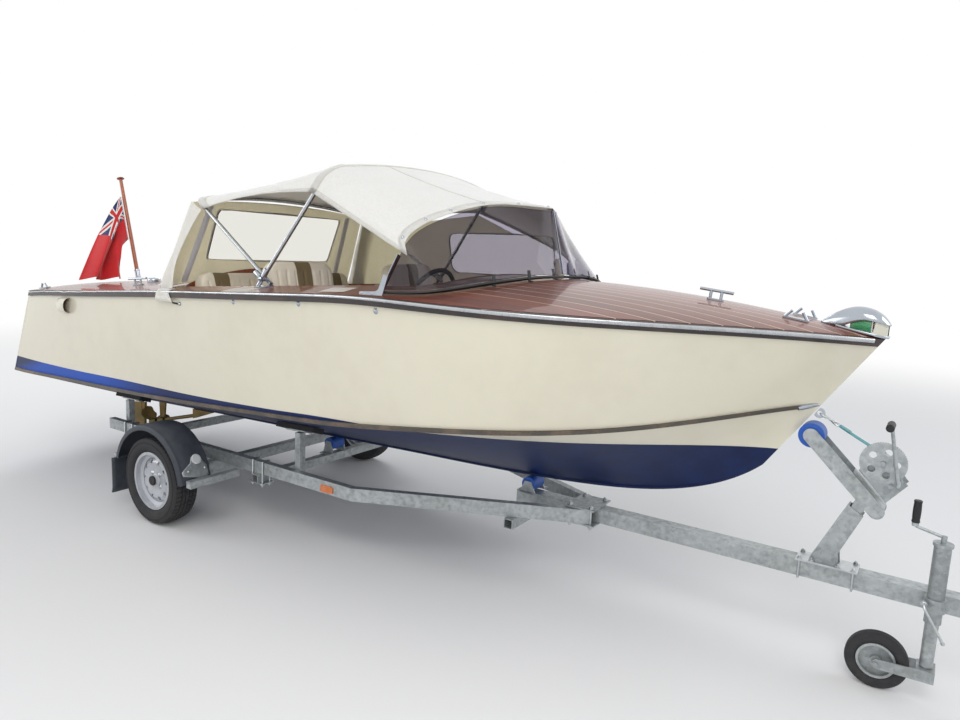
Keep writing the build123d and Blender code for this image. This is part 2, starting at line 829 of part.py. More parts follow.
CANOPY = [(bow_plane(name)[0], bow_arch(name)) for name in ("rear_bow", "main_bow")]
with BuildPart() as canopy_front:
    plane, arch = CANOPY[1]
    with BuildSketch(plane):
        add(half_face(half_arch(*arch, 0), half_arch(*arch, CLOTH)))
    plane, front = hood_front_face()
    with BuildSketch(plane):
        add(front)
    loft(ruled=True)
    mirror(about=Plane.XZ)
with BuildPart() as canopy:
    for plane, arch in CANOPY:
        with BuildSketch(plane):
            add(arch_face(*arch))
    loft(ruled=True)
    add(canopy_front)
save(canopy, "canopy")

# Curtains, with their clear windows let in
with BuildPart() as rear_sheet:
    slope = (CURTAIN_TOP_X - CURTAIN_FOOT_X) / (CURTAIN_TOP_Z - CURTAIN_FOOT_Z)
    low, high = CURTAIN_FOOT_Z - 100, CURTAIN_TOP_Z + 100
    half = CURTAIN_FOOT_HALF + 50
    start_x = CURTAIN_FOOT_X - 100 * slope
    with BuildSketch(Plane.XY.offset(low)):
        with BuildLine():
            outer = ThreePointArc((start_x, -half), (start_x - CURTAIN_BULGE, 0), (start_x, half))
            Line(outer @ 1, outer @ 1 + Vector(CLOTH, 0))
            inner = ThreePointArc((start_x + CLOTH, half), (start_x - CURTAIN_BULGE + CLOTH, 0),
                                  (start_x + CLOTH, -half))
            Line(inner @ 1, outer @ 0)
        make_face()
    extrude(amount=high - low, dir=(slope, 0, 1))
    with BuildSketch(Plane.YZ.offset(-2000)):
        foot_side = deck_top(CURTAIN_FOOT_X, CURTAIN_FOOT_HALF) + 2 * SEAM
        foot_mid = deck_top(CURTAIN_FOOT_X, 0) + 3 * SEAM
        with BuildLine():
            hem = ThreePointArc((-CURTAIN_FOOT_HALF, foot_side), (0, foot_mid),
                                (CURTAIN_FOOT_HALF, foot_side))
            Line(hem @ 1, (CURTAIN_TOP_HALF, CURTAIN_TOP_Z - 10))
            head = ThreePointArc((CURTAIN_TOP_HALF, CURTAIN_TOP_Z - 10),
                                 (0, CURTAIN_TOP_Z + 28), (-CURTAIN_TOP_HALF, CURTAIN_TOP_Z - 10))
            Line(head @ 1, hem @ 0)
        make_face()
    extrude(amount=2000, mode=Mode.INTERSECT)


def side_rib(foot_x, foot_y, head_x, head_y, head_z):
    """Plane of one rib of the side curtain and the rib's length."""
    foot = Vector(foot_x, foot_y, deck_top(foot_x, foot_y) + 6 * SEAM)
    rib = Vector(head_x, head_y, head_z) - foot
    across = Vector(0, 1, 0)
    return Plane(origin=foot, x_dir=rib, z_dir=rib.cross(across)), rib.length


with BuildPart() as side_sheet:
    for aft, fore in zip(SIDE_CURTAIN, SIDE_CURTAIN[1:]):
        for row in (aft, fore):
            plane, length = side_rib(*row)
            with BuildSketch(plane):
                with BuildLine():
                    Polyline((0, 0), (length, 0), (length, CLOTH), (0, CLOTH), close=True)
                make_face()
        loft(ruled=True)

rear_half, rear_low, rear_high = WINDOW_REAR
side_aft, side_fore, side_low, side_high = WINDOW_SIDE


def window_block(plane, centre, width, height, depth):
    """Rounded block that cuts a window out of a sheet."""
    with BuildPart() as block:
        with BuildSketch(plane):
            with Locations(centre):
                RectangleRounded(width, height, WINDOW_CORNER)
        extrude(amount=depth)
    return block.part


WINDOWS = (
    # name, sheet, cutting plane, centre, width, height, depth
    ("rear_curtain", rear_sheet, Plane.YZ.offset(-2000), (0, (rear_low + rear_high) / 2),
     2 * rear_half, rear_high - rear_low, 1000),
    ("side_curtain", side_sheet, Plane.XZ.offset(-1000),
     ((side_aft + side_fore) / 2, (side_low + side_high) / 2),
     side_fore - side_aft, side_high - side_low, 600),
)
with BuildPart() as curtain_windows:
    for name, sheet, plane, centre, width, height, depth in WINDOWS:
        add(sheet.part & window_block(plane, centre, width - 2 * SEAM, height - 2 * SEAM, depth))
save(curtain_windows, "curtain_windows")
for name, sheet, plane, centre, width, height, depth in WINDOWS:
    with BuildPart() as curtain:
        add(sheet.part)
        add(window_block(plane, centre, width, height, depth), mode=Mode.SUBTRACT)
    save(curtain, name)


def rod(start, end, radius, bore=0):
    """Round bar or tube between two points."""
    run = Vector(*end) - Vector(*start)
    with BuildPart() as piece:
        with BuildSketch(Plane(origin=start, z_dir=run)):
            Circle(radius)
            if bore:
                Circle(bore, mode=Mode.SUBTRACT)
        extrude(amount=run.length)
    return piece.part


def block(x, y, z):
    """Box between two corners, each given as low and high."""
    return Box(x[1] - x[0], y[1] - y[0], z[1] - z[0], align=(Align.MIN,) * 3,
               mode=Mode.PRIVATE).moved(Location((x[0], y[0], z[0])))


def side_plate(outline, y, thickness):
    """Flat plate that stands fore and aft, drawn in X and Z and centred on y."""
    with BuildPart() as plate:
        with BuildSketch(Plane.XZ.offset(-y)):
            with BuildLine():
                Polyline(*outline, close=True)
            make_face()
        extrude(amount=thickness / 2, both=True)
    return plate.part


# Hatch lid with its half of two hinges
def hinge_rod(low, high):
    """Knuckle on the hatch's hinge line."""
    return rod((HINGE_X, low, HINGE_Z), (HINGE_X, high, HINGE_Z), HINGE_R)


with BuildPart() as hatch:
    add(deck)
    add(hatch_blank, mode=Mode.INTERSECT)
    for y in HINGE_SPOTS:
        add(block((HINGE_X - HINGE_LEAF, HINGE_X), (y - HINGE_HALF, y + HINGE_HALF),
                  (HINGE_Z - 3 * HINGE_R, HINGE_Z - 2)))
        add(hinge_rod(y - HINGE_HALF, y + HINGE_HALF))
save(hatch, "engine_hatch")


def hinge_seat(y):
    """The deck's half of a hinge: a leaf with a knuckle at each end of the lid's knuckle."""
    ends = ((y - 1.6 * HINGE_HALF, y - HINGE_HALF - SEAM), (y + HINGE_HALF + SEAM, y + 1.6 * HINGE_HALF))
    low = max(deck_top(HINGE_X + HINGE_LEAF, end) for pair in ends for end in pair) + SEAM
    with BuildPart() as leaf:
        add(block((HINGE_X + HINGE_R + 2, HINGE_X + HINGE_LEAF), (ends[0][0], ends[1][1]),
                  (low, HINGE_Z)))
        for pair in ends:
            add(block((HINGE_X, HINGE_X + HINGE_R + 2), pair, (low, HINGE_Z)))
            add(hinge_rod(*pair))
    return leaf.part


# Deck fittings
def fitting_rod(plane, start, end, radius):
    """Round bar placed on a fitting's own plane."""
    return rod(plane.from_local_coords(Vector(*start)), plane.from_local_coords(Vector(*end)),
               radius)


def cleat(x, y, length):
    """Two posts on a base with a horn bar across them."""
    plane = on_deck(x, y)
    with BuildPart() as piece:
        with BuildSketch(plane):
            RectangleRounded(length * 0.5, CLEAT_BASE, CLEAT_BASE / 2 - 1)
        extrude(amount=CLEAT_PAD)
        for spot in (-length * 0.16, length * 0.16):
            add(fitting_rod(plane, (spot, 0, CLEAT_PAD / 2), (spot, 0, CLEAT_RISE), CLEAT_ROD))
        add(fitting_rod(plane, (-length / 2, 0, CLEAT_RISE), (length / 2, 0, CLEAT_RISE),
                        CLEAT_ROD))
    return piece.part


def fairlead(x, y):
    """Two curled horns on a base."""
    plane = on_deck(x, y)
    with BuildPart() as piece:
        with BuildSketch(plane):
            Rectangle(FAIRLEAD_LENGTH, CLEAT_BASE)
        extrude(amount=CLEAT_PAD)
        for end in (-1, 1):
            spot = end * (FAIRLEAD_LENGTH / 2 - CLEAT_ROD)
            add(fitting_rod(plane, (spot, 0, CLEAT_PAD / 2), (spot * 0.5, 0, CLEAT_RISE * 0.8),
                            CLEAT_ROD))
    return piece.part


def deck_vent(x, y):
    """Round dome ventilator."""
    with BuildPart() as piece:
        with BuildSketch(on_deck(x, y)):
            Circle(VENT_R)
        extrude(amount=VENT_RISE)
        fillet(piece.faces().sort_by(Axis.Z)[-1].edges(), VENT_RISE * 0.6)
    return piece.part


def hood_foot(side):
    """Plate on the side deck with a socket under the leg of each bow."""
    plane = on_deck(FOOT_X, side * (FOOT_Y - TUBE_R))
    with BuildPart() as piece:
        with BuildSketch(plane):
            Rectangle(FOOT_PLATE[0], FOOT_PLATE[1])
        extrude(amount=FOOT_PLATE[2])
        for name, (x, z, foot_y, half, *rest) in BOWS.items():
            leg = (Vector(x, side * half, z) - Vector(FOOT_X, side * foot_y, FOOT_Z)).normalized()
            top = Vector(FOOT_X, side * foot_y, FOOT_Z) - leg * SEAM
            add(rod(tuple(top - leg * FOOT_SOCKET), tuple(top), TUBE_R))
        split(bisect_by=plane, keep=Keep.TOP)
    return piece.part


def bow_eye():
    """Half ring on the stem that the winch strap hooks into."""
    stem_x = on_skin(planks[-1], (4000, -2, EYE_RISE), (-1, 0, 0)).origin.X
    with BuildPart() as piece:
        with BuildSketch(Plane.XZ):
            with Locations((stem_x + EYE_RING, EYE_RISE)):
                Circle(EYE_RING)
                Circle(EYE_RING - 2 * EYE_R, mode=Mode.SUBTRACT)
        extrude(amount=EYE_R, both=True)
        split(bisect_by=rake_plane(stem_x + EYE_R + SEAM, EYE_RISE, HULL[-1][2]), keep=Keep.TOP)
    return piece.part


with BuildPart() as deck_fittings:
    for x, y, length in CLEATS:
        add(cleat(x, y, length))
    for x, y in FAIRLEADS:
        add(fairlead(x, y))
    for x, y in VENTS:
        add(deck_vent(x, y))
    for side_name, side in SIDES:
        add(hood_foot(side))
    for y in HINGE_SPOTS:
        add(hinge_seat(y))
    add(bow_eye())
save(deck_fittings, "deck_fittings")

with BuildPart() as bow_light:
    plane = on_deck(LIGHT_X, 0)
    with BuildSketch(Plane(origin=plane.from_local_coords(Vector(-LIGHT_LENGTH * 0.55, 0, 0)),
                           x_dir=plane.x_dir, z_dir=(0, -1, 0))):
        with BuildLine():
            tail = Spline((0, 0), (LIGHT_LENGTH * 0.45, LIGHT_RISE), (LIGHT_LENGTH, LIGHT_R),
                          tangents=((1, 0.9), (0.35, -1)))
            Polyline(tail @ 1, (LIGHT_LENGTH, 0), (0, 0))
        make_face()
    revolve(axis=Axis(plane.from_local_coords(Vector(0, 0, 0)), plane.x_dir))
    split(bisect_by=plane, keep=Keep.TOP)
    scale(by=(1, LIGHT_SQUEEZE, 1))
save(bow_light, "bow_light")

with BuildPart() as flagstaff:
    foot, head = Vector(*STAFF_FOOT, deck_top(*STAFF_FOOT) + SEAM), Vector(*STAFF_HEAD)
    with BuildSketch(Plane(origin=foot, z_dir=head - foot)):
        Circle(STAFF_R)
    extrude(amount=(head - foot).length, taper=0.3)
    with Locations(head):
        Sphere(STAFF_BALL_R)
    split(bisect_by=Plane.XY.offset(foot.Z + STAFF_R / 2), keep=Keep.TOP)
save(flagstaff, "flagstaff")

with BuildPart() as flag:
    hoist_top, fly, drop, hoist_low = [Vector(*point) for point in FLAG]
    plane = Plane(origin=hoist_top, x_dir=fly - hoist_top,
                  z_dir=(fly - hoist_top).cross(hoist_low - hoist_top))
    with BuildSketch(plane):
        with BuildLine():
            Polyline(*[tuple(plane.to_local_coords(point))[:2]
                       for point in (hoist_top, fly, drop, hoist_low)], close=True)
        make_face()
    extrude(amount=FLAG_FOLD / 2, both=True)
save(flag, "flag")

# Steering wheel on its column
STEER_AXIS = Vector(cos(radians(STEER_TILT)), 0, -sin(radians(STEER_TILT)))
steer_plane = Plane(origin=STEER_CENTRE, x_dir=(0, 1, 0), z_dir=-STEER_AXIS)
with BuildPart() as steering_wheel:
    with Locations(steer_plane):
        Torus(STEER_R, GRIP_R)
    for angle in (90, 210, 330):
        spot = (STEER_R * cos(radians(angle)), STEER_R * sin(radians(angle)), 0)
        add(fitting_rod(steer_plane, (0, 0, -HUB_DEPTH / 2), spot, SPOKE_R))
    add(fitting_rod(steer_plane, (0, 0, -HUB_DEPTH), (0, 0, 0), STEER_HUB_R))
save(steering_wheel, "steering_wheel")

with BuildPart() as dash_and_column:
    add(dashboard.part)
    add(fitting_rod(steer_plane, (0, 0, -HUB_DEPTH - COLUMN_LENGTH), (0, 0, -HUB_DEPTH - SEAM),
                    COLUMN_R))
save(dash_and_column, "dashboard")

# Engine, as one plain block, and what is under the stern
with BuildPart() as engine:
    add(block(*ENGINE))
save(engine, "engine_block")


def shaft_z(x):
    """Height of the propeller shaft's centreline."""
    return PROP_Z + (x - PROP_X) * tan(radians(SHAFT_RISE))


with BuildPart() as stern_gear:
    add(rod((PROP_X + PROP_HUB_LENGTH / 2 + SEAM, 0, shaft_z(PROP_X + PROP_HUB_LENGTH / 2 + SEAM)),
            (LOG_AFT + 5, 0, shaft_z(LOG_AFT + 5)), SHAFT_R))
    add(side_plate([(LOG_AFT, shaft_z(LOG_AFT) - SHAFT_R - 6), (LOG_FORE, keel_under(LOG_FORE) - 3),
                    (LOG_FORE, keel_under(LOG_FORE) - SEAM), (LOG_AFT, keel_under(LOG_AFT) - SEAM)],
                   0, LOG_WIDTH))
    add(rod((STRUT_X - 35, 0, shaft_z(STRUT_X - 35)), (STRUT_X + 35, 0, shaft_z(STRUT_X + 35)),
            STRUT_BARREL_R))
    add(side_plate([(STRUT_X - 25, shaft_z(STRUT_X)), (STRUT_X + 25, shaft_z(STRUT_X)),
                    (STRUT_X + 45, keel_under(STRUT_X) - SEAM),
                    (STRUT_X - 35, keel_under(STRUT_X) - SEAM - 1)], 0, STRUT_THICK))
save(stern_gear, "stern_gear")

prop_dir = Vector(cos(radians(SHAFT_RISE)), 0, sin(radians(SHAFT_RISE)))
prop_plane = Plane(origin=(PROP_X, 0, PROP_Z), x_dir=(0, 1, 0), z_dir=prop_dir)
with BuildPart() as propeller:
    add(fitting_rod(prop_plane, (0, 0, -PROP_HUB_LENGTH / 2), (0, 0, PROP_HUB_LENGTH / 2),
                    PROP_HUB_R))
    for angle in range(0, 360, 120):
        turn = radians(angle)
        blade_dir = Vector(*(prop_plane.x_dir * cos(turn) + prop_plane.y_dir * sin(turn)))
        side_dir = blade_dir.cross(prop_dir)
        with BuildPart(mode=Mode.PRIVATE) as blade:
            for radius, chord, pitch, thick in BLADE:
                lean = radians(pitch)
                chord_dir = side_dir * cos(lean) + prop_dir * sin(lean)
                with BuildSketch(Plane(origin=prop_plane.origin + blade_dir * radius,
                                       x_dir=chord_dir, z_dir=blade_dir)):
                    Ellipse(chord / 2, thick / 2)
            loft()
        add(blade.part)
save(propeller, "propeller")

with BuildPart() as rudder:
    stock = (RUDDER_X, 0)
    add(side_plate(RUDDER_BLADE, 0, RUDDER_THICK))
    fillet(rudder.edges().filter_by(Axis.Y).group_by(Axis.Z)[0], 30)
    add(rod((*stock, RUDDER_BLADE[0][1] - 60), (*stock, keel_under(RUDDER_X) - 2 * SEAM),
            RUDDER_STOCK_R))
save(rudder, "rudder")


# Trailer frame
def rail(side):
    """Bent main rail, hollow, from the rear lamp bar to the drawbar."""
    level = FRAME_TOP - RAIL_HEIGHT / 2
    middle = RAIL_OUTER - RAIL_WIDTH / 2
    end = (DRAWBAR_JOIN, side * (DRAWBAR_WIDTH / 2 + RAIL_WIDTH * 0.7))
    with BuildPart() as tube:
        with BuildLine(Plane.XY.offset(level)) as path:
            Polyline((RAIL_REAR, side * middle), (RAIL_BEND, side * middle), end)
        with BuildSketch(Plane(origin=path.line @ 0, x_dir=(0, 1, 0), z_dir=path.line % 0)):
            Rectangle(RAIL_WIDTH, RAIL_HEIGHT)
            Rectangle(RAIL_WIDTH - 2 * TUBE_WALL, RAIL_HEIGHT - 2 * TUBE_WALL,
                      mode=Mode.SUBTRACT)
        sweep(transition=Transition.RIGHT)
    return tube.part


def square_tube(start, end, width, height, wall=TUBE_WALL):
    """Straight hollow tube of rectangular section, open at both ends."""
    run = Vector(*end) - Vector(*start)
    across = (0, 1, 0) if abs(run.normalized().Y) < 0.5 else (1, 0, 0)
    with BuildPart() as tube:
        with BuildSketch(Plane(origin=start, x_dir=across, z_dir=run)):
            Rectangle(width, height)
            Rectangle(width - 2 * wall, height - 2 * wall, mode=Mode.SUBTRACT)
        extrude(amount=run.length)
    return tube.part


for side_name, side in SIDES:
    with BuildPart() as side_rail:
        add(rail(side))
    save(side_rail, f"rail_{side_name}")

DRAWBAR_MID = FRAME_TOP - DRAWBAR_HEIGHT / 2
RAIL_LOW = FRAME_TOP - RAIL_HEIGHT
with BuildPart() as drawbar:
    add(square_tube((DRAWBAR_AFT, 0, DRAWBAR_MID), (DRAWBAR_FORE, 0, DRAWBAR_MID),
                    DRAWBAR_WIDTH, DRAWBAR_HEIGHT))
save(drawbar, "drawbar")

CROSS_MID = RAIL_LOW - SEAM - CROSS_TUBE / 2
with BuildPart() as cross_tubes:
    for x, half in CROSS_TUBES:
        add(square_tube((x, -half, CROSS_MID), (x, half, CROSS_MID), CROSS_TUBE, CROSS_TUBE))
    add(block((CLAMP_X[0], CLAMP_X[1]), (-CLAMP_HALF, CLAMP_HALF),
              (RAIL_LOW - SEAM - CLAMP_THICK, RAIL_LOW - SEAM)))
    add(block((CLAMP_X[0], CLAMP_X[1]), (-CLAMP_HALF, CLAMP_HALF),
              (FRAME_TOP + SEAM, FRAME_TOP + SEAM + CLAMP_THICK)))
save(cross_tubes, "cross_tubes")

# Axle with its trailing arms and stubs
BEAM_MID = RAIL_LOW - SEAM - AXLE_BEAM / 2
with BuildPart() as axle:
    add(square_tube((AXLE_BEAM_X, -AXLE_BEAM_HALF, BEAM_MID),
                    (AXLE_BEAM_X, AXLE_BEAM_HALF, BEAM_MID), AXLE_BEAM, AXLE_BEAM))
    for side_name, side in SIDES:
        with BuildSketch(Plane.XZ.offset(-side * (AXLE_BEAM_HALF + ARM_THICK / 2))):
            with BuildLine():
                FilletPolyline((AXLE_X - 42, TYRE_R - 34), (AXLE_BEAM_X + 42, BEAM_MID - 36),
                               (AXLE_BEAM_X + 42, BEAM_MID + 28), (AXLE_BEAM_X - 36, BEAM_MID + 28),
                               (AXLE_X - 42, TYRE_R + 34), close=True, radius=18)
            make_face()
        extrude(amount=ARM_THICK / 2, both=True)
        add(rod((AXLE_X, side * AXLE_BEAM_HALF, TYRE_R),
                (AXLE_X, side * (TRACK_HALF + 30), TYRE_R), STUB_R))
save(axle, "axle")


def wheel_plane(x, z):
    """Plane for wheel profiles: local x runs along the axle, y is the radius."""
    return Plane(origin=(x, 0, z), x_dir=(0, 1, 0), z_dir=(1, 0, 0))


def outboard(side, points):
    """Profile points measured outboard from the middle of the wheel."""
    return [(side * (TRACK_HALF + offset), radius) for offset, radius in points]


WHEEL_AXIS = Axis((AXLE_X, 0, TYRE_R), (0, 1, 0))
SEAT_HALF = RIM_WIDTH / 2
SEAT_R = RIM_R - 6
FLANGE_R = RIM_R + 7
for side_name, side in SIDES:
    with BuildPart() as tyre:
        with BuildSketch(wheel_plane(AXLE_X, TYRE_R)):
            with BuildLine():
                bead, wall = SEAT_HALF - 1, TYRE_WIDTH / 2
                tread = wall - 9
                spots = outboard(side, [(-bead, FLANGE_R + 2), (-bead, SEAT_R + 1),
                                        (bead, SEAT_R + 1), (bead, FLANGE_R + 2)])
                Polyline(*spots)
                ThreePointArc(spots[-1], *outboard(side, [(wall, FLANGE_R + 40),
                                                          (tread, TYRE_R - 10)]))
                ThreePointArc(*outboard(side, [(tread, TYRE_R - 10), (0, TYRE_R),
                                               (-tread, TYRE_R - 10)]))
                ThreePointArc(*outboard(side, [(-tread, TYRE_R - 10), (-wall, FLANGE_R + 40)]),
                              spots[0])
            make_face()
        revolve(axis=WHEEL_AXIS)
    save(tyre, f"tyre_{side_name}")
    with BuildPart() as rim:
        for points in (RIM_BARREL, RIM_DISC, RIM_HUB):
            with BuildSketch(wheel_plane(AXLE_X, TYRE_R)):
                with BuildLine():
                    Polyline(*outboard(side, points), close=True)
                make_face()
        revolve(axis=WHEEL_AXIS)
        face = Plane(origin=(AXLE_X, side * TRACK_HALF, TYRE_R), x_dir=(1, 0, 0),
                     z_dir=(0, side, 0))
        with BuildSketch(face):
            with PolarLocations(RIM_SLOT_R, RIM_SLOTS):
                SlotOverall(*RIM_SLOT)
        extrude(amount=SEAT_HALF, mode=Mode.SUBTRACT)
    save(rim, f"rim_{side_name}")

with BuildPart() as mudguards:
    for side_name, side in SIDES:
        for reach, low, high in ((0, *GUARD_Y), (GUARD_SKIRT, GUARD_Y[1] - GUARD_THICK, GUARD_Y[1])):
            with BuildSketch(Plane.XZ.offset(-side * low)):
                start, end = GUARD_ANGLES
                with BuildLine():
                    centre = (AXLE_X, TYRE_R)
                    outer = CenterArc(centre, GUARD_R + GUARD_THICK, start, end - start)
                    inner = CenterArc(centre, GUARD_R - reach, start, end - start)
                    Line(outer @ 0, inner @ 0)
                    Line(outer @ 1, inner @ 1)
                make_face()
            extrude(amount=-side * (high - low))
save(mudguards, "mudguards")

with BuildPart() as guard_brackets:
    for side_name, side in SIDES:
        inner, outer = RAIL_OUTER + SEAM, GUARD_Y[1] - 25
        y = sorted((side * inner, side * outer))
        add(block(BRACKET_X, y, (296, 336)))
        add(block((FLAP[0] - 20, FLAP[0] + 20), y, (332, 360)))
        y = sorted((side * GUARD_Y[0], side * GUARD_Y[1]))
        add(block((FLAP[0] - FLAP_THICK / 2, FLAP[0] + FLAP_THICK / 2), y, (FLAP[1], FLAP[2] + 4)))
save(guard_brackets, "guard_brackets")


def under_hull(x, y):
    """Plane on the underside of the bottom planking, facing down and out."""
    return on_skin(planks[1 if y > 0 else -1], (x, y, 0), (0, 0, 1))


with BuildPart() as rollers:
    for x in ROLLER_SPOTS:
        z = keel_under(x) - 2 * SEAM - KEEL_ROLLER_R
        add(rod((x, -KEEL_ROLLER_WIDTH / 2, z), (x, KEEL_ROLLER_WIDTH / 2, z), KEEL_ROLLER_R,
                ROLLER_PIN_R + SEAM))
    add(rod((ROLLER_X, -BOW_ROLLER_WIDTH / 2, ROLLER_Z), (ROLLER_X, BOW_ROLLER_WIDTH / 2, ROLLER_Z),
            ROLLER_R, ROLLER_PIN_R + SEAM))
save(rollers, "rollers")

with BuildPart() as hull_pads:
    for x, y, post_y in PADS:
        for side_name, side in SIDES:
            with BuildSketch(under_hull(x, side * y).offset(PAD_GAP)):
                RectangleRounded(PAD_SIZE[0], PAD_SIZE[1], 12)
            extrude(amount=PAD_SIZE[2])
save(hull_pads, "hull_pads")

with BuildPart() as hull_supports:
    for x in ROLLER_SPOTS:
        z = keel_under(x) - 2 * SEAM - KEEL_ROLLER_R
        foot = FRAME_TOP + SEAM if x > DRAWBAR_AFT else CROSS_MID + CROSS_TUBE / 2 + SEAM
        reach, thick = ROLLER_BRACKET
        for side_name, side in SIDES:
            y = side * (KEEL_ROLLER_WIDTH / 2 + SEAM + thick / 2)
            add(side_plate([(x - reach / 2, foot), (x + reach / 2, foot),
                            (x + ROLLER_PIN_R * 2, z + 18), (x - ROLLER_PIN_R * 2, z + 18)],
                           y, thick))
            flange = sorted((y, y + side * BRACKET_FLANGE))
            add(block((x - reach / 2, x + reach / 2), flange, (foot, foot + thick)))
        half = KEEL_ROLLER_WIDTH / 2 + SEAM + thick
        add(rod((x, -half, z), (x, half, z), ROLLER_PIN_R))
    for x, y, post_y in PADS:
        for side_name, side in SIDES:
            plane = under_hull(x, side * y).offset(PAD_GAP + PAD_SIZE[2] + SEAM)
            with BuildSketch(plane):
                Rectangle(PAD_SIZE[0] * 0.5, PAD_SIZE[1] * 0.7)
            extrude(amount=6)
            spread = sorted((side * (post_y - POST_WIDTH / 2), side * (post_y + POST_WIDTH / 2)))
            inner_y = post_y - POST_WIDTH / 2 - abs(plane.origin.Y)
            top = plane.origin.Z + inner_y * abs(plane.z_dir.Y / plane.z_dir.Z)
            add(block((x - POST_WIDTH / 2, x + POST_WIDTH / 2), spread, (RAIL_LOW, top - 2)))
save(hull_supports, "hull_supports")

# Winch post, arm and winch
with BuildPart() as winch_post:
    half = DRAWBAR_WIDTH / 2 + 14
    add(block(POST_BASE, (-half, half), (FRAME_TOP + SEAM, FRAME_TOP + SEAM + 6)))
    for side_name, side in SIDES:
        add(side_plate(POST_OUTLINE, side * (POST_HALF - POST_WALL / 2), POST_WALL))
    (foot_x, foot_z), (top_x, top_z) = POST_OUTLINE[0], POST_OUTLINE[-1]
    add(side_plate([(foot_x, foot_z), (foot_x + POST_WALL * 1.2, foot_z),
                    (top_x + POST_WALL * 1.2, top_z - 2), (top_x, top_z)], 0, 2 * POST_HALF))
    slope = Vector(POST_SLOPE[0], 0, POST_SLOPE[1]).normalized()
    start = Vector((POST_OUTLINE[3][0] + POST_OUTLINE[4][0]) / 2, 0,
                   (POST_OUTLINE[3][1] + POST_OUTLINE[4][1]) / 2) - slope * 60
    add(square_tube(tuple(start), tuple(start + slope * 130), 2 * (POST_HALF - POST_WALL), 46))
    arm = Vector(ROLLER_X - ARM_FOOT[0], 0, ROLLER_Z - ARM_FOOT[1])
    arm_plane = Plane(origin=(ARM_FOOT[0], 0, ARM_FOOT[1]), x_dir=arm, z_dir=(0, -1, 0))
    for side_name, side in SIDES:
        with BuildSketch(arm_plane.offset(side * ARM_PLATE_Y)):
            with Locations((arm.length / 2, 0)):
                SlotCenterToCenter(arm.length, ARM_WIDTH)
        extrude(amount=ARM_PLATE / 2, both=True)
    with BuildSketch(arm_plane):
        with Locations((80, -ARM_WIDTH / 2 + ARM_PLATE / 2)):
            Rectangle(180, ARM_PLATE)
    extrude(amount=ARM_PLATE_Y, both=True)
    add(rod((ROLLER_X, -ARM_PLATE_Y, ROLLER_Z), (ROLLER_X, ARM_PLATE_Y, ROLLER_Z), ROLLER_PIN_R))
save(winch_post, "winch_post")

with BuildPart() as winch:
    for side_name, side in SIDES:
        add(side_plate(WINCH_PLATES, side * (WINCH_PLATE_Y - WINCH_PLATE / 2), WINCH_PLATE))
    add(rod((DRUM_X, GEAR_Y - 14, DRUM_Z), (DRUM_X, WINCH_PLATE_Y + 12, DRUM_Z), 9))
    add(rod((DRUM_X, -WINCH_PLATE_Y + 5, DRUM_Z), (DRUM_X, WINCH_PLATE_Y - 5, DRUM_Z), DRUM_R))
    with BuildSketch(Plane.XZ.offset(-GEAR_Y)):
        with Locations((DRUM_X, DRUM_Z)):
            Circle(GEAR_R - TOOTH)
            with PolarLocations(GEAR_R - TOOTH, GEAR_TEETH):
                Trapezoid(2 * TOOTH, TOOTH * 1.3, 70, rotation=-90)
            with PolarLocations(GEAR_R * 0.55, 5):
                Circle(GEAR_R * 0.16, mode=Mode.SUBTRACT)
    extrude(amount=GEAR_THICK / 2, both=True)
    add(rod((PINION_X, CRANK_Y, PINION_Z), (PINION_X, WINCH_PLATE_Y + 10, PINION_Z), 8))
    add(rod((PINION_X, GEAR_Y - 6, PINION_Z), (PINION_X, GEAR_Y + 6, PINION_Z), PINION_R))
    add(rod((PINION_X, CRANK_Y, PINION_Z), (CRANK_TOP[0], CRANK_Y, CRANK_TOP[1]), 7))
    add(rod((CRANK_TOP[0], CRANK_Y - 95, CRANK_TOP[1]), (CRANK_TOP[0], CRANK_Y + 5, CRANK_TOP[1]),
            13))
save(winch, "winch")

with BuildPart() as winch_strap:
    start = Vector(DRUM_X - 8, 0, DRUM_Z + DRUM_R + 4)
    hook = Vector(STRAP_HOOK[0], 0, STRAP_HOOK[1])
    run = hook - start
    with BuildSketch(Plane(origin=start, x_dir=(0, 1, 0), z_dir=run)):
        Rectangle(STRAP_WIDTH, STRAP_THICK)
    extrude(amount=run.length - 30)
    add(rod(tuple(hook - run.normalized() * 40), tuple(hook - run.normalized() * 2), 6))
save(winch_strap, "winch_strap")

# Jockey wheel
with BuildPart() as jockey_tube:
    low, high = JOCKEY_TUBE
    add(rod((JOCKEY_X, JOCKEY_Y, low), (JOCKEY_X, JOCKEY_Y, high), JOCKEY_TUBE_R,
            JOCKEY_LEG_R + JOCKEY_FIT))
    add(rod((JOCKEY_X, JOCKEY_Y, high), (JOCKEY_X, JOCKEY_Y, high + 12), JOCKEY_TUBE_R + 5))
    add(rod((JOCKEY_X, JOCKEY_Y, JOCKEY_CLAMP[0]), (JOCKEY_X, JOCKEY_Y, JOCKEY_CLAMP[1]),
            JOCKEY_TUBE_R + 8, JOCKEY_LEG_R + 3))
    add(block((JOCKEY_X - 30, JOCKEY_X + 30), (JOCKEY_Y + JOCKEY_TUBE_R, -DRAWBAR_WIDTH / 2 - SEAM),
              (JOCKEY_CLAMP[0], JOCKEY_CLAMP[1] - 14)))
    add(rod((JOCKEY_X, JOCKEY_Y, high + 12), (JOCKEY_X, JOCKEY_Y, high + 40), 10))
    knee = (CRANK_ARM[0], JOCKEY_Y, CRANK_ARM[1] - 60)
    add(rod((JOCKEY_X, JOCKEY_Y, high + 34), knee, 6))
    add(rod(knee, (CRANK_ARM[0], JOCKEY_Y, CRANK_ARM[1] + 40), 12))
save(jockey_tube, "jockey_tube")

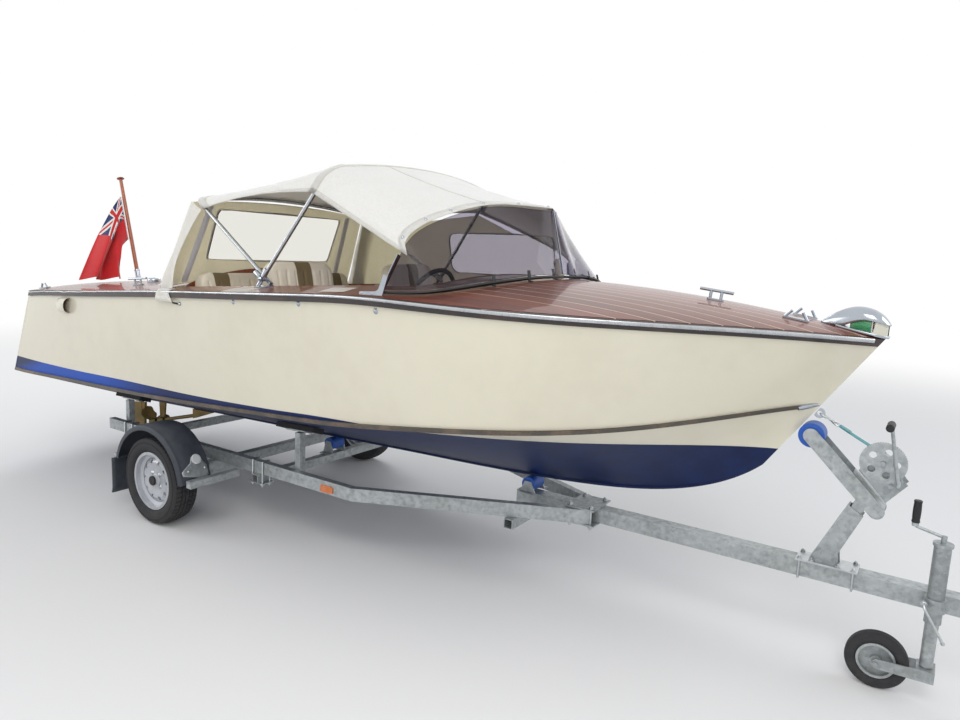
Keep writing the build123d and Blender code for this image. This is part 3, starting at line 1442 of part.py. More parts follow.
with BuildPart() as jockey_leg:
    add(rod((JOCKEY_X, JOCKEY_Y, JOCKEY_LEG[0]), (JOCKEY_X, JOCKEY_Y, JOCKEY_LEG[1]),
            JOCKEY_LEG_R, JOCKEY_LEG_R - TUBE_WALL))
save(jockey_leg, "jockey_leg")

wheel_x = JOCKEY_X - JOCKEY_TRAIL
with BuildPart() as jockey_fork:
    with BuildSketch(Plane.XY.offset(JOCKEY_FORK_TOP - JOCKEY_FORK_THICK)):
        with Locations((JOCKEY_X, JOCKEY_Y)):
            Rectangle(64, 2 * JOCKEY_FORK_HALF)
    extrude(amount=JOCKEY_FORK_THICK)
    add(rod((JOCKEY_X, JOCKEY_Y, JOCKEY_FORK_TOP - 1), (JOCKEY_X, JOCKEY_Y, JOCKEY_LEG[0] + 30),
            JOCKEY_LEG_R - TUBE_WALL - JOCKEY_FIT))
    for side in (-1, 1):
        y = JOCKEY_Y + side * (JOCKEY_FORK_HALF - JOCKEY_FORK_THICK / 2)
        add(side_plate([(JOCKEY_X + 32, JOCKEY_FORK_TOP), (wheel_x, JOCKEY_WHEEL_R + 20),
                        (wheel_x - 20, JOCKEY_WHEEL_R), (wheel_x, JOCKEY_WHEEL_R - 20),
                        (JOCKEY_X + 32, JOCKEY_FORK_TOP - 46)], y, JOCKEY_FORK_THICK))
    add(rod((wheel_x, JOCKEY_Y - JOCKEY_FORK_HALF - 6, JOCKEY_WHEEL_R),
            (wheel_x, JOCKEY_Y + JOCKEY_FORK_HALF + 6, JOCKEY_WHEEL_R), 9))
save(jockey_fork, "jockey_fork")

jockey_axis = Axis((wheel_x, 0, JOCKEY_WHEEL_R), (0, 1, 0))
JOCKEY_RIM_R = JOCKEY_WHEEL_R * 0.63
with BuildPart() as jockey_tyre:
    with BuildSketch(wheel_plane(wheel_x, JOCKEY_WHEEL_R)):
        with Locations((JOCKEY_Y, (JOCKEY_WHEEL_R + JOCKEY_RIM_R) / 2)):
            RectangleRounded(JOCKEY_WHEEL_WIDTH, JOCKEY_WHEEL_R - JOCKEY_RIM_R, 18)
    revolve(axis=jockey_axis)
save(jockey_tyre, "jockey_tyre")

with BuildPart() as jockey_rim:
    with BuildSketch(wheel_plane(wheel_x, JOCKEY_WHEEL_R)):
        for half, low, high in JOCKEY_RIM:
            with Locations((JOCKEY_Y, (low + high) / 2)):
                Rectangle(2 * half, high - low)
    revolve(axis=jockey_axis)
save(jockey_rim, "jockey_rim")

# Coupling head
with BuildPart() as coupling:
    low, high = COUPLING_Z
    nose_r = NOSE_X - BALL_X
    with BuildSketch(Plane.XY.offset(low)):
        with BuildLine():
            Polyline((BALL_X, nose_r * 0.82), (COUPLING_NECK, 34), (COUPLING_NECK, -34),
                     (BALL_X, -nose_r * 0.82))
            ThreePointArc((BALL_X, -nose_r * 0.82), (NOSE_X, 0), (BALL_X, nose_r * 0.82))
        make_face()
    extrude(amount=high - low)
    fillet(coupling.faces().sort_by(Axis.Z)[-1].edges(), 12)
    with BuildSketch(Plane.XY.offset(low)):
        with Locations((BALL_X, 0)):
            Circle(BALL_R)
    extrude(amount=SOCKET_DEPTH, mode=Mode.SUBTRACT)
    add(block((COUPLING_AFT, COUPLING_NECK + 1), (-34, 34), (FRAME_TOP + SEAM, high)))
    add(block((DRAWBAR_FORE + SEAM, COUPLING_NECK + 1), (-34, 34), (low, high)))
    add(side_plate([(COUPLING_NECK - 20, high - 2), (COUPLING_NECK + 40, high - 2),
                    (COUPLING_NECK + 20, high + 34), (COUPLING_NECK - 120, high + 52),
                    (COUPLING_NECK - 120, high + 38), (COUPLING_NECK - 8, high + 20)], 0, 26))
save(coupling, "coupling_head")
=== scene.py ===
"""Looks of a wooden runabout on its galvanised trailer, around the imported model, in metres."""

from functools import partial, reduce
from math import atan2, cos, exp, hypot, pi, radians, sin, sqrt

import bpy
import bmesh
import numpy as np
from mathutils import Matrix, Vector
from mathutils.bvhtree import BVHTree


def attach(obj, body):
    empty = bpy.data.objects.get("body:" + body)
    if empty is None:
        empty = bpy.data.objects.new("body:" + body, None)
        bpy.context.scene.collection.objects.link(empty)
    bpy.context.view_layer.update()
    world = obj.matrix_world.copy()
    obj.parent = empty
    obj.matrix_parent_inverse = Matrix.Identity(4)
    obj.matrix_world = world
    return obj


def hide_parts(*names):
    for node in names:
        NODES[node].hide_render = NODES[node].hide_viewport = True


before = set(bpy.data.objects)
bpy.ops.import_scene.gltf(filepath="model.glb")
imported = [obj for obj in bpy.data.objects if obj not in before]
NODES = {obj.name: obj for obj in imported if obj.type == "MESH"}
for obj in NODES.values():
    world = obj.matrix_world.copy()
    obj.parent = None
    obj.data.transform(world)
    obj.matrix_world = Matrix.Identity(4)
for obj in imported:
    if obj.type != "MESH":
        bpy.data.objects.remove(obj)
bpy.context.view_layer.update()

SIDES = (("starboard", -1), ("port", 1))
UP = Vector((0, 0, 1))
X_AXIS, Y_AXIS = Vector((1, 0, 0)), Vector((0, 1, 0))


# Shader nodes
def srgb(code):
    """Linear colour of a six-digit hex code."""
    parts = [int(code[i:i + 2], 16) / 255 for i in (0, 2, 4)]
    return tuple(c / 12.92 if c <= 0.04045 else ((c + 0.055) / 1.055) ** 2.4
                 for c in parts) + (1,)


class Graph:
    """Short ways to add nodes to one shader tree; a colour may be given as a hex code."""

    def __init__(self, tree):
        self.tree = tree

    def join(self, value, socket):
        """Feed a socket from another socket or with a plain value."""
        if isinstance(value, bpy.types.NodeSocket):
            self.tree.links.new(value, socket)
        else:
            socket.default_value = srgb(value) if isinstance(value, str) else value

    def put(self, sockets, **values):
        """Join values to sockets by name, with _ for a space."""
        for name, value in values.items():
            self.join(value, sockets[name.replace("_", " ")])

    def node(self, kind, inputs=(), **settings):
        """Add a shader node, set it up and join its inputs, given as name: value."""
        made = self.tree.nodes.new("ShaderNode" + kind)
        for name, value in settings.items():
            setattr(made, name, value)
        for name, value in dict(inputs).items():
            self.join(value, made.inputs[name])
        return made

    def first(self, kind, inputs=(), **settings):
        """First output of a new node."""
        return self.node(kind, inputs, **settings).outputs[0]

    def calc(self, operation, *values, clamp=False):
        """Output of a maths node."""
        return self.first("Math", dict(enumerate(values)), operation=operation, use_clamp=clamp)

    def add(self, *values):
        """Sum of values."""
        return reduce(partial(self.calc, "ADD"), values)

    def times(self, *values):
        """Product of values."""
        return reduce(partial(self.calc, "MULTIPLY"), values)

    def largest(self, *values):
        """Largest of values."""
        return reduce(partial(self.calc, "MAXIMUM"), values)

    def away(self, value, centre):
        """Distance of a value from a centre."""
        return self.calc("ABSOLUTE", self.calc("SUBTRACT", value, centre))

    def mix(self, share, low, high):
        """Output of a colour mix: low at share 0, high at share 1."""
        return self.node("Mix", {0: share, 6: low, 7: high}, data_type="RGBA").outputs[2]

    def remap(self, value, low, high, to_low=0.0, to_high=1.0, smooth=False):
        """Value stretched from one range to another and held inside it."""
        return self.first("MapRange", {0: value, 1: low, 2: high, 3: to_low, 4: to_high},
                          interpolation_type="SMOOTHSTEP" if smooth else "LINEAR")

    def stretched(self, vector, scale):
        """Vector scaled along each axis."""
        return self.first("Mapping", {"Vector": vector, "Scale": scale})

    def noise(self, vector, scale, detail=3.0, rough=0.55):
        """Soft noise between about 0.3 and 0.7."""
        return self.first("TexNoise", {"Vector": vector, "Scale": scale, "Detail": detail,
                                       "Roughness": rough})

    def axis(self, vector, name):
        """The X, Y or Z of a vector."""
        return self.node("SeparateXYZ", {0: vector}).outputs[name]

    def place(self, group, **inputs):
        """Add an effect and give its outputs; its inputs are named with _ for a space."""
        made = self.tree.nodes.new("ShaderNodeGroup")
        made.node_tree = group
        self.put(made.inputs, **inputs)
        return made.outputs


KINDS = {"Vector": "NodeSocketVector", "Colour": "NodeSocketColor"}


def effect(name, inputs, outputs):
    """Start a shader node group: its graph, its input sockets and its output sockets."""
    tree = bpy.data.node_groups.new(name, "ShaderNodeTree")
    for label, default in {"Vector": None, **inputs}.items():
        kind = "Vector" if default is None else "Colour" if isinstance(default, tuple) else ""
        socket = tree.interface.new_socket(label, in_out="INPUT",
                                           socket_type=KINDS.get(kind, "NodeSocketFloat"))
        if default is not None:
            socket.default_value = default
    for label in outputs:
        tree.interface.new_socket(label, in_out="OUTPUT",
                                  socket_type=KINDS.get(label, "NodeSocketFloat"))
    given, out = tree.nodes.new("NodeGroupInput"), tree.nodes.new("NodeGroupOutput")
    return Graph(tree), given.outputs, out.inputs


def make_patchy():
    """Broad and fine changes of tone, as in paint, zinc or rubber that has been outdoors."""
    t, given, out = effect("patchy tone", {"Colour": (1, 1, 1, 1), "Stain": (0, 0, 0, 1),
                                           "Scale": 3.0, "Amount": 0.2}, ("Colour", "Mask"))
    broad = t.noise(given["Vector"], given["Scale"], 4.0)
    fine = t.noise(given["Vector"], t.times(given["Scale"], 9.0))
    mask = t.remap(t.add(t.times(broad, 0.7), t.times(fine, 0.3)), 0.42, 0.66, smooth=True)
    t.put(out, Mask=mask, Colour=t.mix(t.times(mask, given["Amount"]), given["Colour"],
                                       given["Stain"]))
    return t.tree


def make_grime():
    """Dirt that settles low down and in specks, below a clean height."""
    t, given, out = effect("road grime", {"Colour": (1, 1, 1, 1), "Dirt": (0.1, 0.08, 0.06, 1),
                                          "Clean Height": 0.5, "Amount": 0.5}, ("Colour", "Mask"))
    low = t.remap(t.axis(given["Vector"], "Z"), 0.0, given["Clean Height"], 1.0, 0.0)
    specks = t.remap(t.noise(given["Vector"], 24.0, 5.0, 0.7), 0.38, 0.7)
    mask = t.times(low, specks, given["Amount"])
    t.put(out, Mask=mask, Colour=t.mix(mask, given["Colour"], given["Dirt"]))
    return t.tree


def make_wear():
    """Bare or rubbed places along outside edges, broken up by noise."""
    t, given, out = effect("edge wear", {"Amount": 0.5}, ("Mask",))
    sharp = t.remap(t.node("NewGeometry").outputs["Pointiness"], 0.515, 0.6)
    broken = t.remap(t.noise(given["Vector"], 38.0, 4.0), 0.35, 0.65)
    t.put(out, Mask=t.calc("MULTIPLY", t.times(sharp, broken), given["Amount"], clamp=True))
    return t.tree


def make_grain():
    """Wood grain that runs along X, in planks with a pale seam between them."""
    t, given, out = effect("planked grain", {
        "Light": (0.4, 0.2, 0.1, 1), "Dark": (0.2, 0.08, 0.04, 1),
        "Seam Colour": (0.8, 0.7, 0.5, 1), "Plank": 0.08, "Seam": 0.003, "Edge": 9.0},
        ("Colour", "Height"))
    x, y, z = (t.axis(given["Vector"], name) for name in "XYZ")
    lane = t.calc("DIVIDE", y, given["Plank"])
    number = t.calc("FLOOR", lane)
    within = t.away(t.calc("FRACT", lane), 0.5)
    reach = t.times(t.calc("SUBTRACT", 0.5, within), given["Plank"])
    seam = t.times(t.calc("LESS_THAN", reach, t.times(given["Seam"], 0.5)),
                   t.calc("LESS_THAN", t.calc("ABSOLUTE", y), given["Edge"]))
    shifted = t.first("CombineXYZ", {0: t.add(x, t.times(number, 3.7)), 1: y, 2: z})
    broad = t.noise(t.stretched(shifted, (0.25, 3.0, 3.0)), 7.0, 3.0, 0.5)
    fibre = t.noise(t.stretched(shifted, (0.06, 2.2, 2.2)), 60.0, 6.0, 0.65)
    rings = t.first("TexWave", {
        "Vector": t.stretched(shifted, (0.35, 6.0, 6.0)), "Scale": 2.3, "Distortion": 7.0,
        "Detail": 3.0, "Detail Scale": 1.3}, wave_type="BANDS", bands_direction="Y")
    plank_tone = t.first("TexWhiteNoise", {"W": number}, noise_dimensions="1D")
    tone = t.add(t.times(rings, 0.3), t.times(fibre, 0.5), t.times(broad, 0.4),
                 t.times(t.calc("SUBTRACT", plank_tone, 0.5), 0.36))
    wood = t.mix(t.remap(tone, 0.3, 0.95), given["Light"], given["Dark"])
    t.put(out, Colour=t.mix(seam, wood, given["Seam Colour"]),
          Height=t.calc("SUBTRACT", t.times(fibre, 0.3), seam))
    return t.tree


def make_weave():
    """Sets of threads that cross, with the tone and height of the cloth."""
    t, given, out = effect("plain weave", {"Thread": 0.0012}, ("Tone", "Height"))
    turns = t.calc("DIVIDE", pi, given["Thread"])
    waves = [t.calc("ABSOLUTE", t.calc("SINE", t.times(t.axis(given["Vector"], name), turns)))
             for name in "XYZ"]
    slub = t.noise(given["Vector"], 90.0, 4.0, 0.6)
    t.put(out, Height=t.add(t.times(t.largest(*waves), 0.6), t.times(slub, 0.6)),
          Tone=t.remap(slub, 0.35, 0.65))
    return t.tree


def make_spangle():
    """Crystal flowers of hot dip zinc."""
    t, given, out = effect("zinc spangle", {"Size": 0.02}, ("Tone", "Height"))
    drift = t.node("TexNoise", {"Vector": given["Vector"], "Scale": 40.0}).outputs[1]
    push = t.first("VectorMath", {0: drift, 1: (0.012, 0.012, 0.012)}, operation="MULTIPLY")
    bent = t.first("VectorMath", {0: given["Vector"], 1: push}, operation="ADD")
    cells = t.node("TexVoronoi", {"Vector": bent, "Scale": t.calc("DIVIDE", 1.0, given["Size"])})
    tone = t.first("SeparateColor", {0: cells.outputs["Color"]})
    cloud = t.noise(given["Vector"], 5.0, 5.0)
    t.put(out, Tone=t.add(t.times(tone, 0.55), t.times(cloud, 0.55)),
          Height=t.noise(given["Vector"], 160.0, 4.0))
    return t.tree


def make_pores():
    """Small even bumps: orange peel in paint, pebbled vinyl or moulded rubber."""
    t, given, out = effect("pebbled skin", {"Size": 0.002}, ("Height",))
    scale = t.calc("DIVIDE", 1.0, given["Size"])
    cells = t.first("TexVoronoi", {"Vector": given["Vector"], "Scale": scale},
                    feature="SMOOTH_F1")
    t.put(out, Height=t.add(cells, t.times(t.noise(given["Vector"], scale), 0.7)))
    return t.tree


PATCHY, GRIME, WEAR = make_patchy(), make_grime(), make_wear()
GRAIN, WEAVE, SPANGLE, PORES = make_grain(), make_weave(), make_spangle(), make_pores()


class Finish(Graph):
    """A material under way: its graph, its shader and the object's coordinates."""

    def __init__(self, name):
        self.material = bpy.data.materials.new(name)
        self.material.use_nodes = True
        super().__init__(self.material.node_tree)
        self.tree.nodes.clear()
        self.shader = self.node("BsdfPrincipled")
        self.tree.links.new(self.shader.outputs[0], self.node("OutputMaterial").inputs[0])
        self.places = self.node("TexCoord").outputs
        self.where = self.places["Object"]

    def patchy(self, colour, stain, scale, amount):
        """Patchy tone over a colour."""
        return self.place(PATCHY, Vector=self.where, Colour=colour, Stain=stain, Scale=scale,
                          Amount=amount)

    def grime(self, colour, dirt, clean_height, amount):
        """Dirt low down over a colour."""
        return self.place(GRIME, Vector=self.where, Colour=colour, Dirt=dirt,
                          Clean_Height=clean_height, Amount=amount)

    def worn(self):
        """Mask of rubbed edges."""
        return self.place(WEAR, Vector=self.where, Amount=0.5)["Mask"]

    def pores(self, size):
        """Height of small bumps."""
        return self.place(PORES, Vector=self.where, Size=size)["Height"]

    def done(self, height, depth, strength=0.5, **inputs):
        """Set the shader's sockets, with relief of that depth in metres; the material."""
        self.put(self.shader.inputs, **inputs)
        if depth:
            self.put(self.shader.inputs, Normal=self.first(
                "Bump", {"Height": height, "Distance": depth, "Strength": strength}))
        return self.material


# Height of the paint line by place along the boat, and the range of the curve that holds it
WATERLINE = ((-3.17, 0.768), (-2.40, 0.770), (-1.60, 0.789), (-0.91, 0.799), (-0.34, 0.819),
             (0.15, 0.845), (0.644, 0.855), (1.29, 0.868), (2.06, 0.881))
LINE_LOW, LINE_SPAN = 0.6, 0.4
LINE_SOFT = 0.0006


def paint_hull():
    """Cream enamel, blue below the waterline, with a painted highlight that makes the topside blue
    brighter aft; bare wood inside.
    """
    t = Finish("hull paint")
    x, y, z = (t.axis(t.where, name) for name in "XYZ")
    first, last = WATERLINE[0][0], WATERLINE[-1][0]
    curve = t.node("FloatCurve", {"Value": t.remap(x, first, last)})
    points = curve.mapping.curves[0].points
    spots = [((at - first) / (last - first), (height - LINE_LOW) / LINE_SPAN)
             for at, height in WATERLINE]
    points[0].location = spots[0]
    for spot in spots[1:-1]:
        points.new(*spot)
    points[len(points) - 1].location = spots[-1]
    curve.mapping.update()
    line = t.add(t.times(curve.outputs[0], LINE_SPAN), LINE_LOW)
    below = t.remap(t.calc("SUBTRACT", line, z), -LINE_SOFT, LINE_SOFT)
    cream = t.patchy("D8D3C0", "CEC8B5", 1.3, 0.5)["Colour"]
    # Painted highlight: the navy topside blue turns bright blue towards the stern, standing in for
    # sunlight and a reflection on the gloss paint.
    boot_blue_with_painted_highlight_aft = t.mix(t.remap(x, -1.15, -2.0, smooth=True), "0A2054", "0048AC")
    foul = t.remap(t.noise(t.where, 9.0, 5.0), 0.4, 0.62)
    under = t.mix(t.times(foul, 0.5), "081A44", "0E2658")
    blue = t.mix(t.remap(t.calc("ABSOLUTE", y), 0.795, 0.805), under, boot_blue_with_painted_highlight_aft)
    facing = t.axis(t.node("NewGeometry").outputs["Normal"], "Y")
    inner = t.remap(t.times(y, facing), -0.02, -0.04)
    bare = t.mix(t.remap(t.noise(t.where, 7.0), 0.35, 0.65), "8F6E4A", "755638")
    dull = t.largest(below, inner)
    return t.done(t.noise(t.where, 3.0, 2.0), 0.0015, 0.35,
                  Base_Color=t.mix(inner, t.mix(below, cream, blue), bare),
                  Roughness=t.remap(dull, 0, 1, 0.26, 0.42),
                  Coat_Weight=t.remap(dull, 0, 1, 0.7, 0.0), Coat_Roughness=0.06,
                  Specular_IOR_Level=0.3)


def varnish(name, light, dark, seam="E0C09A", plank=0.0, edge=9.0, gloss=1.0):
    """Mahogany under gloss varnish; with a plank width it has pale seams."""
    t = Finish(name)
    wood = t.place(GRAIN, Vector=t.where, Light=light, Dark=dark, Seam_Colour=seam,
                   Plank=plank or 0.21, Seam=0.0042 if plank else 0.0, Edge=edge)
    return t.done(wood["Height"], 0.0004, Roughness=0.42, Coat_Weight=gloss, Coat_Roughness=0.045,
                  Base_Color=t.patchy(wood["Colour"], light, 2.2, 0.18)["Colour"])


def metal(name, colour, rough, patch, amount=0.2):
    """Polished or plain metal with faint handling marks."""
    t = Finish(name)
    tone = t.patchy(colour, patch, 14.0, amount)
    return t.done(t.noise(t.where, 220.0, 2.0), 0.0001, 0.25, Base_Color=tone["Colour"],
                  Metallic=1.0, Roughness=t.remap(tone["Mask"], 0, 1, rough, rough + 0.12))


def zinc():
    """Hot dip galvanised steel: spangle, white bloom and dirt low down."""
    t = Finish("hot dip zinc")
    spangle = t.place(SPANGLE, Vector=t.where, Size=0.016)
    colour = t.mix(spangle["Tone"], "8B9295", "B4BABC")
    dirty = t.grime(t.patchy(colour, "7A7E7C", 3.0, 0.45)["Colour"], "6B6256", 0.46, 0.5)
    return t.done(spangle["Height"], 0.0004,
                  Base_Color=t.mix(t.worn(), dirty["Colour"], "C9CDCE"),
                  Metallic=t.remap(dirty["Mask"], 0, 0.5, 0.72, 0.3),
                  Roughness=t.remap(spangle["Tone"], 0.2, 0.9, 0.56, 0.4))


def rubber(name, colour, dust, clean=0.3, amount=0.5, rough=0.75, pore=0.0016):
    """Moulded rubber or plastic with dust on it."""
    t = Finish(name)
    tone = t.patchy(colour, dust, 8.0, 0.22)
    return t.done(t.pores(pore), 0.0003, 0.45,
                  Base_Color=t.grime(tone["Colour"], dust, clean, amount)["Colour"],
                  Roughness=t.remap(tone["Mask"], 0, 1, rough, min(1.0, rough + 0.12)))


def cloth(name, colour, shade, thread=0.0013, stain=0.18, through=0.0):
    """Woven canvas or webbing; light comes through by that share."""
    t = Finish(name)
    weave = t.place(WEAVE, Vector=t.where, Thread=thread)
    thread_tone = t.mix(t.times(weave["Tone"], 0.3), colour, shade)
    return t.done(weave["Height"], 0.0006, Roughness=0.86, Sheen_Weight=0.3, Sheen_Roughness=0.5,
                  Base_Color=t.patchy(thread_tone, shade, 2.6, stain)["Colour"],
                  Subsurface_Weight=through, Subsurface_Scale=0.008,
                  Subsurface_Radius=(1.0, 0.95, 0.85))


def glass(name, colour, rough, ripple, index):
    """Clear or tinted sheet with a faint ripple."""
    t = Finish(name)
    return t.done(t.noise(t.where, 6.0, 2.0) if ripple else None, ripple, Roughness=rough,
                  Base_Color=t.patchy(colour, "F2F2F2", 2.0, 0.05)["Colour"],
                  Transmission_Weight=1.0, IOR=index)


def lens(name, colour, ribs=0.003):
    """Moulded lens with fine ribs, a little see-through."""
    t = Finish(name)
    rib = t.calc("SINE", t.times(t.axis(t.where, "Z"), 2 * pi / ribs))
    return t.done(rib, 0.0006, Roughness=0.12, Coat_Weight=0.6, Transmission_Weight=0.3,
                  Base_Color=t.patchy(colour, "FFFFFF", 30.0, 0.12)["Colour"])


SEAT_STRIPES, STRIPE_HALF = (-0.48, 0.48, 0.0), 0.055


def seat_skin():
    """Cream vinyl with an olive brown stripe down the middle of each seat."""
    t = Finish("seat vinyl")
    y = t.axis(t.where, "Y")
    stripe = t.largest(*(t.remap(t.away(y, centre), STRIPE_HALF + 0.0006, STRIPE_HALF - 0.0006)
                         for centre in SEAT_STRIPES))
    cream = t.patchy("F1E8D5", "DACFB6", 5.0, 0.35)["Colour"]
    olive = t.patchy("7A6A4A", "5F5138", 9.0, 0.4)["Colour"]
    return t.done(t.pores(0.0022), 0.0004, Base_Color=t.mix(stripe, cream, olive), Roughness=0.5,
                  Coat_Weight=0.15, Coat_Roughness=0.35)


def bunting():
    """Red ensign: a red field with crosses on blue in the upper quarter by the hoist."""
    t = Finish("ensign bunting")
    u, v = (t.axis(t.places["UV"], name) for name in "XY")
    # the quarter runs 0 to 2 across and 0 to 1 up; each band is a distance from a line
    dx = t.calc("SUBTRACT", t.times(u, 4.0), 1.0)
    dy = t.calc("SUBTRACT", t.calc("SUBTRACT", t.times(v, 2.0), 1.0), 0.5)
    rise = t.times(dy, 2.0)
    slanted = t.calc("MINIMUM", *(t.calc("ABSOLUTE", t.calc(way, dx, rise))
                                  for way in ("SUBTRACT", "ADD")))
    upright = t.calc("MINIMUM", t.calc("ABSOLUTE", dx), t.calc("ABSOLUTE", dy))
    red, white, colour = "C81F24", "EDEAE4", "1D2A60"
    for distance, width, paint_code in ((slanted, 0.22, white), (slanted, 0.075, red),
                                        (upright, 0.167, white), (upright, 0.1, red)):
        colour = t.mix(t.calc("LESS_THAN", distance, width), colour, paint_code)
    quarter = t.times(t.calc("LESS_THAN", u, 0.5), t.calc("GREATER_THAN", v, 0.5))
    field = t.patchy("D2262A", "B01A20", 6.0, 0.4)["Colour"]
    weave = t.place(WEAVE, Vector=t.where, Thread=0.0011)
    return t.done(weave["Height"], 0.0004, 0.4, Base_Color=t.mix(quarter, field, colour),
                  Roughness=0.82, Sheen_Weight=0.3)


def paint(name, colour, shade, rough=0.35, metallic=0.0, coat=0.4):
    """Sprayed paint with a little edge wear."""
    t = Finish(name)
    tone = t.patchy(colour, shade, 6.0, 0.3)
    return t.done(t.pores(0.003), 0.0002, 0.35, Metallic=metallic, Coat_Weight=coat,
                  Base_Color=t.mix(t.worn(), tone["Colour"], shade),
                  Roughness=t.remap(tone["Mask"], 0, 1, rough, rough + 0.15))


def rail_metal():
    """Weathered chine rail below, dark rub rail above."""
    t = Finish("hull rails")
    upper = t.calc("GREATER_THAN", t.axis(t.where, "Z"), 1.15)
    low = t.patchy("57524C", "7A6A5C", 9.0, 0.8)["Colour"]
    high = t.patchy("2A2425", "4B3A34", 9.0, 0.5)["Colour"]
    return t.done(t.noise(t.where, 60.0, 4.0), 0.0008, Base_Color=t.mix(upper, low, high),
                  Roughness=0.48, Metallic=t.remap(upper, 0, 1, 0.5, 0.0), Coat_Weight=0.2)


FINISH = {
    "cream_topsides": paint_hull(),
    "varnished_deck": varnish("laid deck", "7E4230", "472219", "D9BE9C", plank=0.082, edge=0.80,
                              gloss=0.5),
    "plain_deck": varnish("varnished edge boards", "7C402C", "441F16", gloss=0.5),
    "varnished_trim": varnish("varnished mahogany", "8E4527", "562114", gloss=0.7),
    "staff_wood": varnish("varnished staff", "B0603A", "8A4227", gloss=0.6),
    "plywood": varnish("oiled plywood", "A98560", "7F5D3E", gloss=0.1),
    "weathered_rail": rail_metal(),
    "stainless": metal("polished fittings", "B4BAC2", 0.12, "8C939C"),
    "rail_strip": metal("rub strip", "C2C5C8", 0.24, "8E9296", 0.4),
    "tube_metal": metal("hood tube", "B9BDC0", 0.22, "8F9396", 0.3),
    "tinted_screen": glass("tinted screen", "A19CAC", 0.015, 0.0, 1.2),
    "clear_window": glass("clear window", "E9E8E0", 0.05, 0.0016, 1.12),
    "black_rubber": rubber("black rubber", "16171A", "3A3A38", amount=0.1, rough=0.5),
    "seat_vinyl": seat_skin(),
    "hood_cloth": cloth("hood canvas", "EDEBE3", "DAD5C4", through=0.9),
    "curtain_cloth": cloth("curtain canvas", "EBE2C6", "D6CAA6", through=0.9),
    "hood_hem": cloth("hood binding", "E6E2D6", "CBC3AE", 0.0009, through=0.8),
    "zip_tape": cloth("zip tape", "F1F1F4", "CFCFD6", 0.0007),
    "flag_cloth": bunting(),
    "engine": paint("engine paint", "3A464E", "22282C"),
    # Aged bronze, and partly painted shade: its colour is darkened to stand in for the shadow
    # under the hull.
    "bronze": metal("bronze", "75603A", 0.42, "4A5238", 0.6),
    "galvanised": zinc(),
    "bolt_zinc": metal("plated bolt", "C6CACC", 0.3, "8A8E90", 0.4),
    "tyre_rubber": rubber("tyre", "26272B", "4E4B46", 0.36, 0.45, 0.8),
    "white_rim": paint("wheel enamel", "B9BCC2", "8F9398", 0.32, 0.35, 0.5),
    "guard_plastic": rubber("moulded guard", "30353D", "5D6066", 0.6, 0.35, 0.55, 0.0011),
    "blue_roller": rubber("blue roller", "1650A8", "6E86A8", 0.2, 0.2, 0.42),
    "pad_rubber": rubber("bunk pad", "1E1F22", "44423E", 0.5, 0.3, 0.7),
    "teal_webbing": cloth("teal webbing", "1E8F98", "13636B", 0.0016, 0.3),
    "amber": lens("amber lens", "E87A12"),
    "white_reflector": lens("white reflector", "DDE0E2", 0.0022),
    "red_lens": lens("red lens", "B3121C"),
    "green_lens": lens("green lens", "2E9A5E"),
    "step_pad": rubber("step pad", "CFCAC2", "9F9A90", 0.2, 0.1, 0.8, 0.003),
    "stitch": cloth("sewing thread", "D8CFB6", "A79C80", 0.0005),
}
CAD_FINISH = {
    "cream_topsides": ("topside_starboard", "topside_port", "bottom_starboard", "bottom_port",
                       "transom", "keel"),
    "varnished_deck": ("foredeck", "aft_deck", "engine_hatch"),
    "plain_deck": ("side_decks",),
    "varnished_trim": ("coaming", "dashboard", "flagstaff"),
    "plywood": ("floor_and_bulkheads", "seat_boxes"),
    "weathered_rail": ("hull_rails",),
    "stainless": ("deck_fittings", "bow_light", "screen_frame"),
    "tube_metal": ("main_bow", "rear_bow"),
    "tinted_screen": ("windscreen_starboard", "windscreen_port"),
    "clear_window": ("curtain_windows",),
    "black_rubber": ("screen_gasket", "steering_wheel"),
    "seat_vinyl": ("seat_cushions", "seat_backs"),
    "hood_cloth": ("canopy", "rear_curtain", "side_curtain"),
    "flag_cloth": ("flag",),
    "engine": ("engine_block",),
    "bronze": ("stern_gear", "propeller", "rudder"),
    "galvanised": ("rail_starboard", "rail_port", "drawbar", "cross_tubes", "axle",
                   "guard_brackets", "hull_supports", "winch_post", "winch", "jockey_tube",
                   "jockey_leg", "jockey_fork", "jockey_rim", "coupling_head"),
    "tyre_rubber": ("tyre_starboard", "tyre_port", "jockey_tyre"),
    "white_rim": ("rim_starboard", "rim_port"),
    "guard_plastic": ("mudguards",),
    "blue_roller": ("rollers",),
    "pad_rubber": ("hull_pads",),
    "teal_webbing": ("winch_strap",),
}
for finish, names in CAD_FINISH.items():
    for name in names:
        NODES[name].data.materials.clear()
        NODES[name].data.materials.append(FINISH[finish])


# Mesh building
def shares(count):
    """Even steps from 0 to 1, ends included."""
    return [k / count for k in range(count + 1)]


def turns(count):
    """Even angles of a whole turn, as many as count."""
    return [2 * pi * k / count for k in range(count)]


def half_turn(count):
    """Even angles from 0 to a half turn, ends included."""
    return [pi * t for t in shares(count)]


def toward(way, goal):
    """A direction, or its opposite if that is nearer to the goal."""
    return way if way.dot(goal) > 0 else -way


def box_outline(left, right, low, high):
    """Corners of a rectangle."""
    return [(left, low), (right, low), (right, high), (left, high)]


def across(axis):
    """Two unit vectors square to an axis and to each other."""
    axis = axis.normalized()
    first = axis.cross(UP if abs(axis.z) < 0.9 else X_AXIS).normalized()
    return first, axis.cross(first).normalized()


